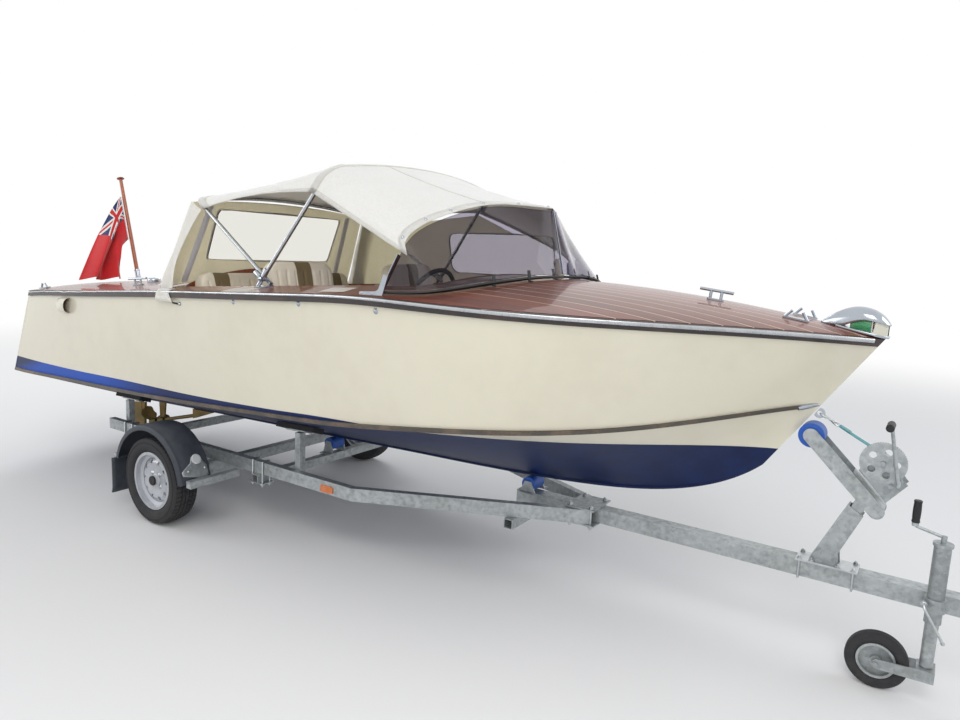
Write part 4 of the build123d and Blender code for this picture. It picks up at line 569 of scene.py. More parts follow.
def arc(start, middle, end, count):
    """Points on the circle through three 2-D points, ends included."""
    (ax, ay), (bx, by), (cx, cy) = start, middle, end
    d = 2 * (ax * (by - cy) + bx * (cy - ay) + cx * (ay - by))
    a, b, c = ax**2 + ay**2, bx**2 + by**2, cx**2 + cy**2
    ux = (a * (by - cy) + b * (cy - ay) + c * (ay - by)) / d
    uy = (a * (cx - bx) + b * (ax - cx) + c * (bx - ax)) / d
    r = hypot(ax - ux, ay - uy)
    first, mid, last = (atan2(y - uy, x - ux) for x, y in (start, middle, end))
    turn = (last - first) % (2 * pi)
    if (mid - first) % (2 * pi) > turn:
        turn -= 2 * pi
    angles = [first + turn * i / (count - 1) for i in range(count)]
    return [(ux + r * cos(a), uy + r * sin(a)) for a in angles]


def ahead_of(path, i):
    """Direction of a path at one of its points."""
    return (path[min(i + 1, len(path) - 1)] - path[max(i - 1, 0)]).normalized()


def smooth_line(points, per=8):
    """A curve through points, in even steps between them."""
    out, count = [], len(points)
    for i in range(count - 1):
        a, b, c, d = (Vector(points[max(0, min(count - 1, i + k))]) for k in (-1, 0, 1, 2))
        for step in range(per):
            t = step / per
            out.append(0.5 * (2 * b + (c - a) * t + (2 * a - 5 * b + 4 * c - d) * t**2
                              + (3 * b - a - 3 * c + d) * t**3))
    return out + [Vector(points[-1])]


WELD = 2e-6  # points nearer than this become one


class Shape:
    """Points and faces gathered for one piece."""

    def __init__(self):
        self.points, self.faces, self.uvs = [], [], {}

    def rows(self, rows, ring=False, loop=False, caps=False, uv=False):
        """Skin over rows of points; ring closes each row, loop joins the last row to the first."""
        start, count, wide = len(self.points), len(rows), len(rows[0])
        for i, row in enumerate(rows):
            for j, point in enumerate(row):
                if uv:
                    self.uvs[len(self.points)] = i / (count - 1), j / (wide - 1)
                self.points.append(tuple(point))
        for i in range(count if loop else count - 1):
            for j in range(wide if ring else wide - 1):
                near, far = start + i * wide, start + (i + 1) % count * wide
                self.faces.append((near + j, near + (j + 1) % wide, far + (j + 1) % wide, far + j))
        if caps:
            for i in (0, count - 1):
                base = start + i * wide
                self.faces.append(tuple(range(base, base + wide)))
        return self

    def lathe(self, profile, origin, axis, steps=32, wave=None):
        """Turn a profile of (distance along the axis, radius) about the axis."""
        origin, axis = Vector(origin), Vector(axis).normalized()
        first, second = across(axis)
        rows = []
        for i, angle in enumerate(turns(steps)):
            out = first * cos(angle) + second * sin(angle)
            rows.append([origin + axis * at + out * (r - (wave(i, k) if wave else 0.0))
                         for k, (at, r) in enumerate(profile)])
        return self.rows(rows, loop=True)

    def tube(self, path, radius, sides=12):
        """Round bar along a path; its radius may be a function of the share of the way."""
        path = [Vector(p) for p in path]
        side = across(path[1] - path[0])[0]
        rows = []
        for i, point in enumerate(path):
            ahead = ahead_of(path, i)
            side = (side - ahead * side.dot(ahead)).normalized()
            third = ahead.cross(side)
            r = radius(i / (len(path) - 1)) if callable(radius) else radius
            rows.append([point + side * r * cos(a) + third * r * sin(a)
                         for a in turns(sides)])
        return self.rows(rows, ring=True, caps=True)

    def ribbon(self, path, across_way, width, thick):
        """Flat strap along a path."""
        path, wide = [Vector(p) for p in path], Vector(across_way).normalized() * width / 2
        rows = []
        for i, point in enumerate(path):
            out = ahead_of(path, i).cross(wide).normalized() * thick / 2
            near = wide * 0.96
            rows.append([point + near + out, point + wide, point + near - out,
                         point - near - out, point - wide, point - near + out])
        return self.rows(rows, ring=True, caps=True)

    def slab(self, outline, origin, x_way, y_way, thick, edge=0.0015, middle=True):
        """Plate with softened edges, drawn in two directions and thick along their cross."""
        x_way, y_way = Vector(x_way).normalized(), Vector(y_way).normalized()
        out, origin = x_way.cross(y_way), Vector(origin)
        cx = sum(p[0] for p in outline) / len(outline)
        cy = sum(p[1] for p in outline) / len(outline)
        size = max(hypot(p[0] - cx, p[1] - cy) for p in outline)
        base = -thick / 2 if middle else 0.0
        rows = []
        for level, pull in ((0, edge), (edge, 0), (thick - edge, 0), (thick, edge)):
            share = 1 - pull / size
            rows.append([origin + x_way * (cx + (x - cx) * share) + y_way * (cy + (y - cy) * share)
                         + out * (base + level) for x, y in outline])
        return self.rows(rows, ring=True, caps=True)

    def nut(self, origin, axis, size, washer=True, stud=0.35):
        """Hexagon nut on a washer with the end of its bolt."""
        origin, axis = Vector(origin), Vector(axis).normalized()
        if washer:
            self.lathe(((0, 0), (0, size * 1.15), (size * 0.16, size * 1.15), (size * 0.16, 0)),
                       origin, axis, 24)
        base = origin + axis * size * (0.16 if washer else 0)
        high = size * 0.75
        self.lathe(((0, 0), (0, size), (high * 0.85, size), (high, size * 0.85), (high, 0)), base,
                   axis, 6)
        self.lathe(((high, 0), (high, size * 0.5), (high + size * stud, size * 0.5),
                    (high + size * (stud + 0.1), size * 0.4), (high + size * (stud + 0.1), 0)),
                   base, axis, 12)
        return self

    def dome(self, origin, axis, radius, rise, foot=0.0):
        """Round head on a short foot."""
        round_head = [(rise * sin(pi / 2 * t), radius * cos(pi / 2 * t)) for t in shares(6)]
        return self.lathe([(-foot, 0), (-foot, radius), *round_head], origin, axis, 20)

    def build(self, name, finish, body="root", **settings):
        """Make the piece, ride it on its body and give it a finish."""
        data = bpy.data.meshes.new(name)
        data.from_pydata(self.points, [], self.faces)
        if self.uvs:
            layer = data.uv_layers.new(name="UVMap")
            for loop in data.loops:
                layer.data[loop.index].uv = self.uvs.get(loop.vertex_index, (0, 0))
        mesh = bmesh.new()
        mesh.from_mesh(data)
        bmesh.ops.remove_doubles(mesh, verts=mesh.verts, dist=WELD)
        bmesh.ops.dissolve_degenerate(mesh, edges=mesh.edges, dist=WELD / 2)
        bmesh.ops.recalc_face_normals(mesh, faces=mesh.faces)
        mesh.to_mesh(data)
        mesh.free()
        return dress(add_object(name, data), finish, body, **settings)


def add_object(name, data):
    """A new object in the scene."""
    made = bpy.data.objects.new(name, data)
    bpy.context.scene.collection.objects.link(made)
    return made


def dress(piece, finish, body="root", sharp=38, instead=(), thicken=0.0, slot=None):
    """Material, shading, thickness and body of a piece."""
    data = piece.data
    data.materials.clear()
    data.materials.append(FINISH[finish])
    data.shade_smooth()
    data.set_sharp_from_angle(angle=radians(sharp))
    if thicken:
        sheet = piece.modifiers.new("cloth thickness", "SOLIDIFY")
        sheet.thickness, sheet.offset, sheet.use_rim = thicken, 0.0, True
        apply(piece, sheet)
    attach(piece, body)
    if instead:
        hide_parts(*instead)
    return piece


def apply(piece, modifier):
    """Make one modifier's result the mesh itself."""
    with bpy.context.temp_override(object=piece, active_object=piece):
        bpy.ops.object.modifier_apply(modifier=modifier.name)


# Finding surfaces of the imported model
def corners_of(piece):
    """Corner places of a piece's mesh as an array."""
    return np.array([v.co for v in piece.data.vertices])


def move_corners(piece, places):
    """Put the corners of a piece's mesh at these places."""
    for vertex, spot in zip(piece.data.vertices, places):
        vertex.co = spot


def skin_of(*names):
    """Search tree over the faces of some CAD nodes."""
    points, faces = [], []
    for name in names:
        data, start = NODES[name].data, len(points)
        points += [v.co.copy() for v in data.vertices]
        faces += [[start + i for i in face.vertices] for face in data.polygons]
    return BVHTree.FromPolygons(points, faces)


DECK_SKIN = skin_of("foredeck", "side_decks", "aft_deck", "engine_hatch")
HULL_SKIN = skin_of("topside_starboard", "topside_port")


def on_deck(x, y):
    """Point on the deck and the way up from it."""
    point, normal, _, _ = DECK_SKIN.ray_cast(Vector((x, y, 3)), -UP)
    return point, toward(normal, UP)


def on_topside(x, z, side):
    """Point on the side planking and the way out from it."""
    point, normal, _, _ = HULL_SKIN.ray_cast(Vector((x, side * 2, z)), Y_AXIS * -side)
    return point, toward(normal, Y_AXIS * side)


def slice_at(name, x):
    """Points where the edges of a CAD node cross a plane square to X."""
    co = corners_of(NODES[name])
    ends = np.array([e.vertices for e in NODES[name].data.edges])
    a, b = co[ends[:, 0]], co[ends[:, 1]]
    crossing = (a[:, 0] - x) * (b[:, 0] - x) < 0
    a, b = a[crossing], b[crossing]
    share = ((x - a[:, 0]) / (b[:, 0] - a[:, 0]))[:, None]
    return a + (b - a) * share


# Hood: one sheet over the two bows and down to the windscreen
HOOD_PIVOT = Vector((-0.41, 0, 1.483))
HOOD_ARCHES = (
    # way up, hem, side, shoulder, crown height
    ((-0.650, 0, 0.412), (0.7171, 0.6746), (0.7156, 0.6946), (0.600, 0.8131), 0.8852),
    ((0.410, 0, 0.553), (0.7448, 0.5484), (0.7389, 0.6134), (0.622, 0.7263), 0.7809),
)
HOOD_FRONT = (
    # y, z of the hem, the side and the top
    ((0.866, 1.642), (0.855, 1.692)),
    ((0.855, 1.692), (0.824, 1.722), (0.783, 1.749), (0.702, 1.791), (0.602, 1.829)),
    ((0.602, 1.829), (0.452, 1.874), (0.301, 1.902), (0.150, 1.907), (0, 1.905),
     (-0.150, 1.907), (-0.301, 1.902), (-0.452, 1.874), (-0.602, 1.829)),
)
HOOD_NOSE, NOSE_SWEEP, NOSE_RAKE = (0.860, 1.9), 0.467, 0.667
HEM_STEPS, KNEE_STEPS, CROWN_STEPS, BAY_STEPS = 5, 12, 45, 30
# depths for the bay between the bows and for the bay to the screen, then of the creases
HOOD_SAG, HEM_RISE = (0.020, 0.013), (0.030, 0.0)
PULL_DEEP, STRAIN_DEEP = 0.0022, 0.0035


def arch_profile(hem, side, shoulder, crown):
    """Arch of the cloth from port hem over the crown to starboard hem, in its own plane."""
    knee = ((side[0] + shoulder[0]) / 2 + 0.2 * (side[0] - shoulder[0]),
            (side[1] + shoulder[1]) / 2 + 0.2 * (shoulder[1] - side[1]))
    wall = [tuple(a + (b - a) * k / HEM_STEPS for a, b in zip(hem, side))
            for k in range(HEM_STEPS)]
    left = wall + arc(side, knee, shoulder, KNEE_STEPS + 1)[:-1]
    top = arc(shoulder, (0, crown), (-shoulder[0], shoulder[1]), CROWN_STEPS)
    return left + top + [(-x, y) for x, y in reversed(left)]


def hood_arch(rise, *shape):
    """The same arch as points in the boat."""
    rise = Vector(rise).normalized()
    return [HOOD_PIVOT + Y_AXIS * y + rise * h for y, h in arch_profile(*shape)]


def even(points, count):
    """A smooth curve through points, cut in even lengths."""
    fine = smooth_line([(*p, 0) for p in points], 12)
    along = [0.0]
    for a, b in zip(fine, fine[1:]):
        along.append(along[-1] + (b - a).length)
    spots = np.linspace(0, along[-1], count)
    return [(float(np.interp(t, along, [p.x for p in fine])),
             float(np.interp(t, along, [p.y for p in fine]))) for t in spots]


def hood_edge():
    """Front edge of the hood, swept back from the middle and raked like the screen."""
    hem, knee, top = HOOD_FRONT
    left = even(hem, HEM_STEPS + 1)[:-1] + even(knee, KNEE_STEPS + 1)[:-1]
    line = left + even(top, CROWN_STEPS) + [(-y, z) for y, z in reversed(left)]
    x, top_z = HOOD_NOSE
    return [Vector((x - NOSE_SWEEP * abs(y) - NOSE_RAKE * (z - top_z), y, z)) for y, z in line]


def hood_rows(lift=0.0):
    """Rows of the hood from aft to fore, sagging between the bows."""
    arches = [hood_arch(*arch) for arch in HOOD_ARCHES] + [hood_edge()]
    wide = len(arches[0])
    rows = []
    for bay, (aft, fore) in enumerate(zip(arches, arches[1:])):
        for t in shares(BAY_STEPS)[:None if bay else -1]:
            row, span = [], 4 * t * (1 - t)
            for j, (a, b) in enumerate(zip(aft, fore)):
                s = j / (wide - 1)
                top = min(1.0, 4 * s * (1 - s) * 1.5)
                out = Vector((0, (a.y + b.y) / 2, 0.9 * top + 0.05)).normalized()
                sag = HOOD_SAG[bay] * span * top
                pull = PULL_DEEP * sin(9 * pi * t + 14 * s) * span * (1 - top * 0.6)
                near_bow = exp(-((t - bay) / 0.28) ** 2)
                strain = STRAIN_DEEP * sin(46 * s + 2.0 * t) * near_bow * (1 - top)
                rise = HEM_RISE[bay] * span * max(0.0, 1 - min(j, wide - 1 - j) / 9.0)
                row.append(a.lerp(b, t) - out * (sag + pull + strain - lift) + UP * rise)
            rows.append(row)
    return rows


hood = Shape().rows(hood_rows()).build("hood", "hood_cloth", instead=("canopy",),
                                       thicken=0.0022, sharp=60)


def hood_band(name, picks):
    """Strips sewn on the hood, along rows or columns of its sheet."""
    shape = Shape()
    for strip in picks(hood_rows(0.0022)):
        shape.rows(strip)
    return shape.build(name, "hood_hem", thicken=0.0012, sharp=60, slot="hood_cloth")


def bow_seams(rows):
    """Doublings over the two bows and along the screen."""
    return [rows[first:first + 3] for first in (0, BAY_STEPS - 1, len(rows) - 3)]


def side_hems(rows):
    """Doubled hem along both sides, and two seams fore and aft over the top."""
    wide = len(rows[0])
    strips = [[row[:3] for row in rows], [row[-3:] for row in rows]]
    for column in (HEM_STEPS + KNEE_STEPS + 9, wide - HEM_STEPS - KNEE_STEPS - 11):
        strips.append([[row[column], row[column].lerp(row[column + 1], 0.5)] for row in rows])
    return strips


hood_doublings = hood_band("hood_doublings", bow_seams)
hood_hems = hood_band("hood_hems", side_hems)

STITCH_PITCH, STITCH_LONG, THREAD_R = 0.012, 0.005, 0.0006
lifted = hood_rows(0.0036)
threads = Shape()
for line in (lifted[2], lifted[BAY_STEPS - 1], lifted[BAY_STEPS + 1], lifted[-3],
             [row[2] for row in lifted], [row[-3] for row in lifted]):
    travelled = 0.0
    for a, b in zip(line, line[1:]):
        run = (b - a).length
        while travelled < run:
            start = a.lerp(b, travelled / run)
            threads.tube([start, start + (b - a).normalized() * STITCH_LONG], THREAD_R, 4)
            travelled += STITCH_PITCH
        travelled -= run
threads.build("hood_stitching", "stitch", slot="hood_cloth")

UNDER_HOOD = Vector((0.6, 0, 1.4))
snaps = Shape()
front = hood_rows(0.004)
for share in shares(10):
    at = int((0.07 + 0.86 * share) * (len(front[0]) - 1))
    before, spot, after = front[-2][at - 1:at + 2]
    out = (after - before).cross(front[-1][0] - front[-3][0]).normalized()
    snaps.dome(spot, toward(out, spot - UNDER_HOOD), 0.0085, 0.005)
snaps.build("hood_snaps", "stainless")


# Curtains with their clear windows
def cut_sheet(point, across_steps, up_steps, inside, edge):
    """Sheet over a grid, without the cells inside a window, whose rim is drawn to its edge."""
    cells = [(j, i) for i in range(up_steps) for j in range(across_steps)]
    gone = {(j, i) for j, i in cells
            if inside(point((j + 0.5) / across_steps, (i + 0.5) / up_steps))}
    shape, index = Shape(), {}
    for j, i in cells:
        if (j, i) in gone:
            continue
        face = []
        for c in ((j, i), (j + 1, i), (j + 1, i + 1), (j, i + 1)):
            if c not in index:
                index[c] = len(shape.points)
                shape.points.append(point(c[0] / across_steps, c[1] / up_steps))
            face.append(index[c])
        shape.faces.append(tuple(face))
    for (j, i), number in index.items():
        if gone & {(j, i), (j - 1, i), (j - 1, i - 1), (j, i - 1)}:
            shape.points[number] = edge(shape.points[number])
    return shape


def rounded(centre, half, corner, first, second):
    """Tests and edge of a rounded rectangle in two coordinates of a point."""
    def away(p):
        """Distance of a point outside the edge, less than 0 inside."""
        dx = abs(p[first] - centre[0]) - half[0] + corner
        dy = abs(p[second] - centre[1]) - half[1] + corner
        outside = hypot(max(dx, 0), max(dy, 0))
        return outside - corner if outside > 0 else max(dx, dy) - corner

    def rim(turn):
        """Point of the rim by share of the way round."""
        angle = 2 * pi * turn
        cx, cy = cos(angle), sin(angle)
        low, high = 0.0, 3.0
        for _ in range(40):
            mid = (low + high) / 2
            p = {first: centre[0] + cx * mid * half[0], second: centre[1] + cy * mid * half[1]}
            low, high = (mid, high) if away(p) < 0 else (low, mid)
        return centre[0] + cx * low * half[0], centre[1] + cy * low * half[1]

    return away, rim


REAR_SLOPE = 0.4263
REAR_HALF_LOW, REAR_HALF_TOP = 0.775, 0.700


def rear_point(u, v, lift=0.0):
    """Point of the rear curtain; u runs from starboard to port and v climbs."""
    y = (2 * u - 1) * (REAR_HALF_LOW + (REAR_HALF_TOP - REAR_HALF_LOW) * v)
    foot = on_deck(-1.292, max(-0.77, min(0.77, y)))[0].z + 0.004
    z = foot + (1.921 - 0.036 * (y / 0.7) ** 2 - foot) * v
    x = -1.286 + REAR_SLOPE * (z - 1.4) - 0.05 * (1 - (y / 0.825) ** 2)
    slack = 0.004 * sin(17 * y + 3 * z) * (1 - v) ** 1.5
    slack += 0.003 * sin(31 * y - 5 * z) * (1 - v) ** 3
    return Vector((x + slack - lift, y, z))


SIDE_RIBS = (  # x and y of the foot, then x, y and z of the head
    (-1.268, 0.792, -1.070, 0.700, 1.868), (-1.000, 0.806, -0.975, 0.712, 1.818),
    (-0.100, 0.842, -0.088, 0.740, 1.913), (0.516, 0.872, 0.516, 0.829, 1.640))


def side_rib(share):
    """Foot and head of the port side curtain at a share of its length."""
    x = -1.268 + 1.784 * share
    for a, b in zip(SIDE_RIBS, SIDE_RIBS[1:]):
        if x <= b[0] or b is SIDE_RIBS[-1]:
            t = (x - a[0]) / (b[0] - a[0])
            row = [p + (q - p) * t for p, q in zip(a, b)]
            foot = on_deck(row[0], row[1])[0]
            return Vector((row[0], row[1], foot.z + 0.008)), Vector(row[2:])


def side_point(u, v):
    """Point of the port side curtain; u runs forward and v climbs."""
    foot, head = side_rib(u)
    spot = foot.lerp(head, v)
    slack = 0.005 * sin(14 * spot.x + 4 * spot.z) * (1 - v)
    slack += 0.003 * sin(33 * spot.x) * (1 - v) ** 3
    return spot + Y_AXIS * slack


CURTAINS = (
    # kind, point, grid, window centre, half size, corner, coordinates used, then the cloth as
    # cut: its size, its area without the window, and what it hangs from
    ("rear", rear_point, (150, 54), (0.0, 1.706), (0.505, 0.150), 0.022, (1, 2),
     (1.56, 0.60), 0.56, "rear_bow"),
    ("side", side_point, (160, 48), (0.070, 1.660), (0.400, 0.130), 0.045, (0, 2),
     (1.80, 0.52), 0.52, "main_bow"),
)
WINDOW_STEPS, BINDING_WIDE, BINDING_OUT = 72, 0.011, 0.0016


def find_share(point, first, second, target):
    """Grid shares at which a sheet passes a place in two coordinates."""
    u, v, step = 0.5, 0.5, 1e-3
    for _ in range(12):
        p, pu, pv = point(u, v), point(u + step, v), point(u, v + step)
        a, b = (pu[first] - p[first]) / step, (pv[first] - p[first]) / step
        c, d = (pu[second] - p[second]) / step, (pv[second] - p[second]) / step
        ex, ey = target[0] - p[first], target[1] - p[second]
        det = a * d - b * c
        u += (ex * d - b * ey) / det
        v += (a * ey - c * ex) / det
    return u, v


for (kind, point, grid, centre, half, corner, (first, second), cut_size, cut_area,
     hung_from) in CURTAINS:
    away, rim = rounded(centre, half, corner, first, second)

    def on_sheet(*target):
        """Point of the sheet at a place in its two coordinates."""
        return point(*find_share(point, first, second, target))

    def to_edge(p):
        """Nearest point of the window's edge, back on the sheet."""
        step = 1e-4
        p = Vector(p)
        for _ in range(3):
            gap = away(p)
            q1, q2 = p.copy(), p.copy()
            q1[first] += step
            q2[second] += step
            g1, g2 = (away(q1) - gap) / step, (away(q2) - gap) / step
            p[first] -= gap * g1
            p[second] -= gap * g2
        return on_sheet(p[first], p[second])

    sheet = cut_sheet(point, *grid, lambda p: away(p) < 0, to_edge)
    curtain = sheet.build(f"{kind}_curtain_cloth", "curtain_cloth", instead=(f"{kind}_curtain",),
                          thicken=0.0016, sharp=60, slot="hood_cloth")
    window = [rim(k / WINDOW_STEPS) for k in range(WINDOW_STEPS)]
    Shape().rows([[on_sheet(centre[0] + (x - centre[0]) * ring, centre[1] + (z - centre[1]) * ring)
                   for x, z in window] for ring in (0.0, 0.35, 0.65, 0.85, 0.97, 1.0)],
                 ring=True).build(f"{kind}_window", "clear_window", instead=("curtain_windows",),
                                  thicken=0.0008, sharp=60)
    border = []
    for reach in (0.0, BINDING_WIDE):
        border.append([])
        for x, z in window:
            out = Vector((x - centre[0], z - centre[1])).normalized() * reach
            border[-1].append(on_sheet(x + out.x, z + out.y))
    way = (-X_AXIS if kind == "rear" else Y_AXIS) * BINDING_OUT
    for turn, where in ((-1, "outer"), (1, "inner")):
        Shape().rows([[p + way * turn for p in row] for row in border], ring=True).build(
            f"{kind}_window_binding_{where}", "hood_hem", thicken=0.0008, sharp=60,
            slot="hood_cloth")


# White zips and the forward flaps of the rear curtain, with their elastic loops
zips = Shape()
for side in (-1, 1):
    for lift, wide in ((0.0022, 0.026), (-0.0024, 0.042)):
        zips.ribbon([rear_point(0.5 + side * 0.405, 0.03 + 0.92 * t, lift) for t in shares(30)],
                    Y_AXIS, wide, 0.0012)
zips.build("rear_zips", "zip_tape", slot="hood_cloth")

FLAP_TAIL = (  # out from the rub rail, up from its top, aft edge, fore edge
    (0.009, -0.058, -1.195, -1.030), (0.010, -0.036, -1.190, -1.050),
    (0.008, -0.012, -1.185, -1.068), (-0.007, 0.006, -1.185, -1.080),
    (-0.040, 0.009, -1.195, -1.098), (-0.085, 0.008, -1.220, -1.124))
FLAP_AT, FLAP_STEPS = -1.12, 10
for side_name, side in SIDES:
    edge = slice_at("hull_rails", FLAP_AT)
    edge = edge[edge[:, 1] * side > (edge[:, 1] * side).max() - 0.02]
    beam, deck = (edge[:, 1] * side).max(), edge[:, 2].max()
    table = [[Vector((aft + (fore - aft) * t / FLAP_STEPS, side * (beam + dy + 0.002 * sin(t)),
                      deck + dz)) for t in range(FLAP_STEPS + 1)]
             for dy, dz, aft, fore in FLAP_TAIL]
    corner = table[0][-1].copy()
    foot = on_deck(-1.150, side * 0.800)[0] + UP * 0.004
    head = Vector((-0.980, side * 0.7166, 1.838))
    for v in shares(24):
        back = rear_point(0.5 + side * 0.5, v)
        front = foot.lerp(head, v) - X_AXIS * 0.05 * sin(pi * v) * (1 if side < 0 else 0.2)
        table.append([back.lerp(front, t) + Y_AXIS * side
                      * (0.010 + 0.006 * sin(9 * v + 5 * t) * (1 - v))
                      for t in shares(FLAP_STEPS)])
    flap = Shape().rows(table).build(f"curtain_flap_{side_name}", "hood_hem", thicken=0.0016,
                                     sharp=60, slot="hood_cloth")
    stud, out = on_topside(-0.985, deck - 0.064, side)
    strap = smooth_line([corner + UP * 0.010 - X_AXIS * 0.006,
                         corner + out * 0.003 + X_AXIS * 0.004,
                         corner.lerp(stud, 0.5) + out * 0.008, stud + out * 0.005])
    Shape().ribbon(strap, UP, 0.011, 0.0022).build(f"flap_loop_{side_name}", "black_rubber")
    Shape().dome(stud, out, 0.010, 0.012).build(f"flap_stud_{side_name}", "stainless")


# Flag on its staff
FLAG_HEAD = smooth_line(((-3.002, -0.022, 1.985), (-2.960, -0.105, 1.880), (-2.880, -0.235, 1.700),
                         (-2.790, -0.370, 1.525), (-2.715, -0.500, 1.352)), 16)
FLAG_FOOT = smooth_line(((-2.915, -0.022, 1.650), (-2.870, -0.110, 1.590), (-2.830, -0.155, 1.500),
                         (-2.800, -0.170, 1.420), (-2.770, -0.165, 1.350)), 16)


def flag_point(u, v):
    """Point of the flag: u from the hoist to the fly, v from the foot to the head."""
    at, last = u * (len(FLAG_HEAD) - 1), len(FLAG_HEAD) - 2
    low, share = min(int(at), last), at - min(int(at), last)
    head = FLAG_HEAD[low].lerp(FLAG_HEAD[low + 1], share)
    foot = FLAG_FOOT[low].lerp(FLAG_FOOT[low + 1], share)
    out = (head - foot).cross(Vector((0.25, -0.42, -0.60))).normalized()
    grow = min(1.0, u * 1.9) * (1 - 0.15 * u)
    fold = 0.056 * sin(2 * pi * (1.7 * v - 0.22 * u) + 0.9)
    fold += 0.016 * sin(2 * pi * (3.6 * v + 0.4 * u))
    return foot.lerp(head, v) + out * fold * grow


flag = Shape().rows([[flag_point(u, v) for v in shares(40)] for u in shares(60)], uv=True).build(
    "ensign", "flag_cloth", instead=("flag",), thicken=0.0009, sharp=60)
hoist = Shape().ribbon([flag_point(0.0, v) for v in shares(12)], X_AXIS, 0.022, 0.003)
hoist.build("flag_hoist", "zip_tape", slot="flag_cloth")

# Fittings of the flagstaff
STAFF_FOOT, STAFF_HEAD = Vector((-2.818, 0, 1.340)), Vector((-3.031, 0, 2.122))
STAFF_R = 0.0150
staff_way = (STAFF_HEAD - STAFF_FOOT).normalized()
staff_long = (STAFF_HEAD - STAFF_FOOT).length
taper = [(staff_long * t, STAFF_R - 0.0025 * t**2) for t in shares(24)]
Shape().lathe([(0, 0.0), *taper, (staff_long, 0.0)], STAFF_FOOT, staff_way, 32).build(
    "staff_pole", "staff_wood", instead=("flagstaff",), slot="varnished_trim")
Shape().lathe(((-0.004, 0), (-0.004, 0.018), (0.000, 0.026), (0.005, 0.0285), (0.010, 0.026),
               (0.014, 0.017), (0.017, 0.008), (0.018, 0)), STAFF_HEAD, staff_way, 36).build(
    "staff_truck", "varnished_trim")
Shape().lathe(((0, 0.0), (0, 0.0165), (0.006, 0.0205), (0.020, 0.0205), (0.0215, 0.0185),
               (0.066, 0.0185), (0.0675, 0.0205), (0.078, 0.0205), (0.080, 0.0155), (0.080, 0.0)),
              STAFF_FOOT + staff_way * 0.002, staff_way, 32).build("staff_socket", "stainless")


# Rub rails: bright half-round strip along the sheer, with its screws
RAIL_ENDS, RAIL_HIGH = (-3.085, 2.355), 0.0085


def rail_line(side):
    """Outer top corner of the rub rail, from the transom to the stem."""
    spots = []
    for x in np.linspace(*RAIL_ENDS, 241):
        cut = slice_at("hull_rails", x)
        cut = cut[cut[:, 1] * side > 0]
        if len(cut) < 6:
            continue
        cut = cut[cut[:, 2] > cut[:, 2].max() - 0.022]
        reach = (cut[:, 1] * side).max()
        outer = cut[cut[:, 1] * side > reach - 0.0012]
        spots.append((x, reach, outer[:, 2].max()))
    spots = np.array([spot for spot in spots if spot[2] > 1.2])
    line = []
    for i, (x, _, _) in enumerate(spots):
        wide = min(i, len(spots) - 1 - i, 6)
        _, y, z = spots[i - wide:i + wide + 1].mean(0)
        line.append(Vector((x, side * y, z - RAIL_HIGH)))
    return line


def along_skin(out):
    """Ways forward and up on a surface, from the way out of it."""
    ahead = (X_AXIS - out * out.x).normalized()
    return ahead, toward(out.cross(ahead).normalized(), UP)


def signed_power(value, power):
    """Power of the size of a value, with its sign kept."""
    return abs(value) ** power * (1 if value > 0 else -1)


HULL_SNAPS = ((-0.490, 0.060), (0.016, 0.064), (0.520, 0.082))  # place, drop below the deck
STEP_PADS = ((-0.610, -0.400), (0.115, 0.275))  # aft and fore ends
for side_name, side in SIDES:
    outward = Y_AXIS * side
    line = rail_line(side)
    screws, rows = Shape(), []
    for i, point in enumerate(line):
        ahead = ahead_of(line, i)
        out = toward(ahead.cross(UP).normalized(), outward)
        up = toward(out.cross(ahead).normalized(), UP)
        tall = 0.0045 + 0.0040 * min(1.0, max(0.0, (point.x + 0.6) / 1.9))
        rows.append([point + out * (0.0005 + 0.0042 * sin(a))
                     + up * (RAIL_HIGH - tall + tall * cos(a)) for a in half_turn(8)])
        if i % 6 == 3:
            screws.lathe(((0, 0), (0, 0.0032), (0.0006, 0.0026), (0.0006, 0)),
                         point + out * 0.0042, out, 12)
    Shape().rows(rows).build(f"rub_strip_{side_name}", "rail_strip", slot="stainless")
    screws.build(f"rub_strip_screws_{side_name}", "stainless")
    caps = Shape()
    for x, drop in HULL_SNAPS:
        spot, out = on_topside(x, on_deck(x, side * 0.84)[0].z - drop, side)
        caps.dome(spot, out, 0.0105, 0.0065)
        caps.lathe(((0, 0.0105), (0, 0.0150), (0.0014, 0.0135), (0.0016, 0.0105)), spot, out, 20)
    caps.build(f"hull_snaps_{side_name}", "stainless")
    spot, out = on_topside(-2.440, 1.194, side)
    ahead, up = along_skin(out)
    rows = []
    for t in shares(16):
        swell = sin(pi / 2 * t)
        reach, half = 0.003 + 0.041 * swell ** 0.8, 0.030 + 0.020 * swell ** 0.7
        rows.append([spot + ahead * (-0.105 + 0.195 * t) + out * reach * abs(sin(a)) ** 0.7
                     + up * half * cos(a) for a in half_turn(18)])
    Shape().rows(rows).build(f"vent_shell_{side_name}", "cream_topsides", thicken=0.0025)
    flange = Shape().slab([(0.112 * signed_power(cos(a), 0.8), 0.055 * sin(a)) for a in turns(48)],
                          spot - out * 0.001, ahead, up, 0.0050, 0.0018)
    for level in (-0.022, 0.0, 0.022):
        flange.slab(box_outline(-0.004, 0.050, -0.002, 0.002),
                    spot + ahead * 0.036 + up * level + out * 0.012, ahead, out, 0.003, 0.0006)
    flange.build(f"vent_flange_{side_name}", "cream_topsides")
    pads = Shape()
    for low, high in STEP_PADS:
        pads.rows([[on_deck(low + (high - low) * i / 8, side * (0.790 + 0.096 * k / 8))[0]
                    + UP * (0.0002 if i in (0, 8) or k in (0, 8) else 0.0028) for k in range(9)]
                   for i in range(9)])
    pads.build(f"step_pads_{side_name}", "step_pad", sharp=60)


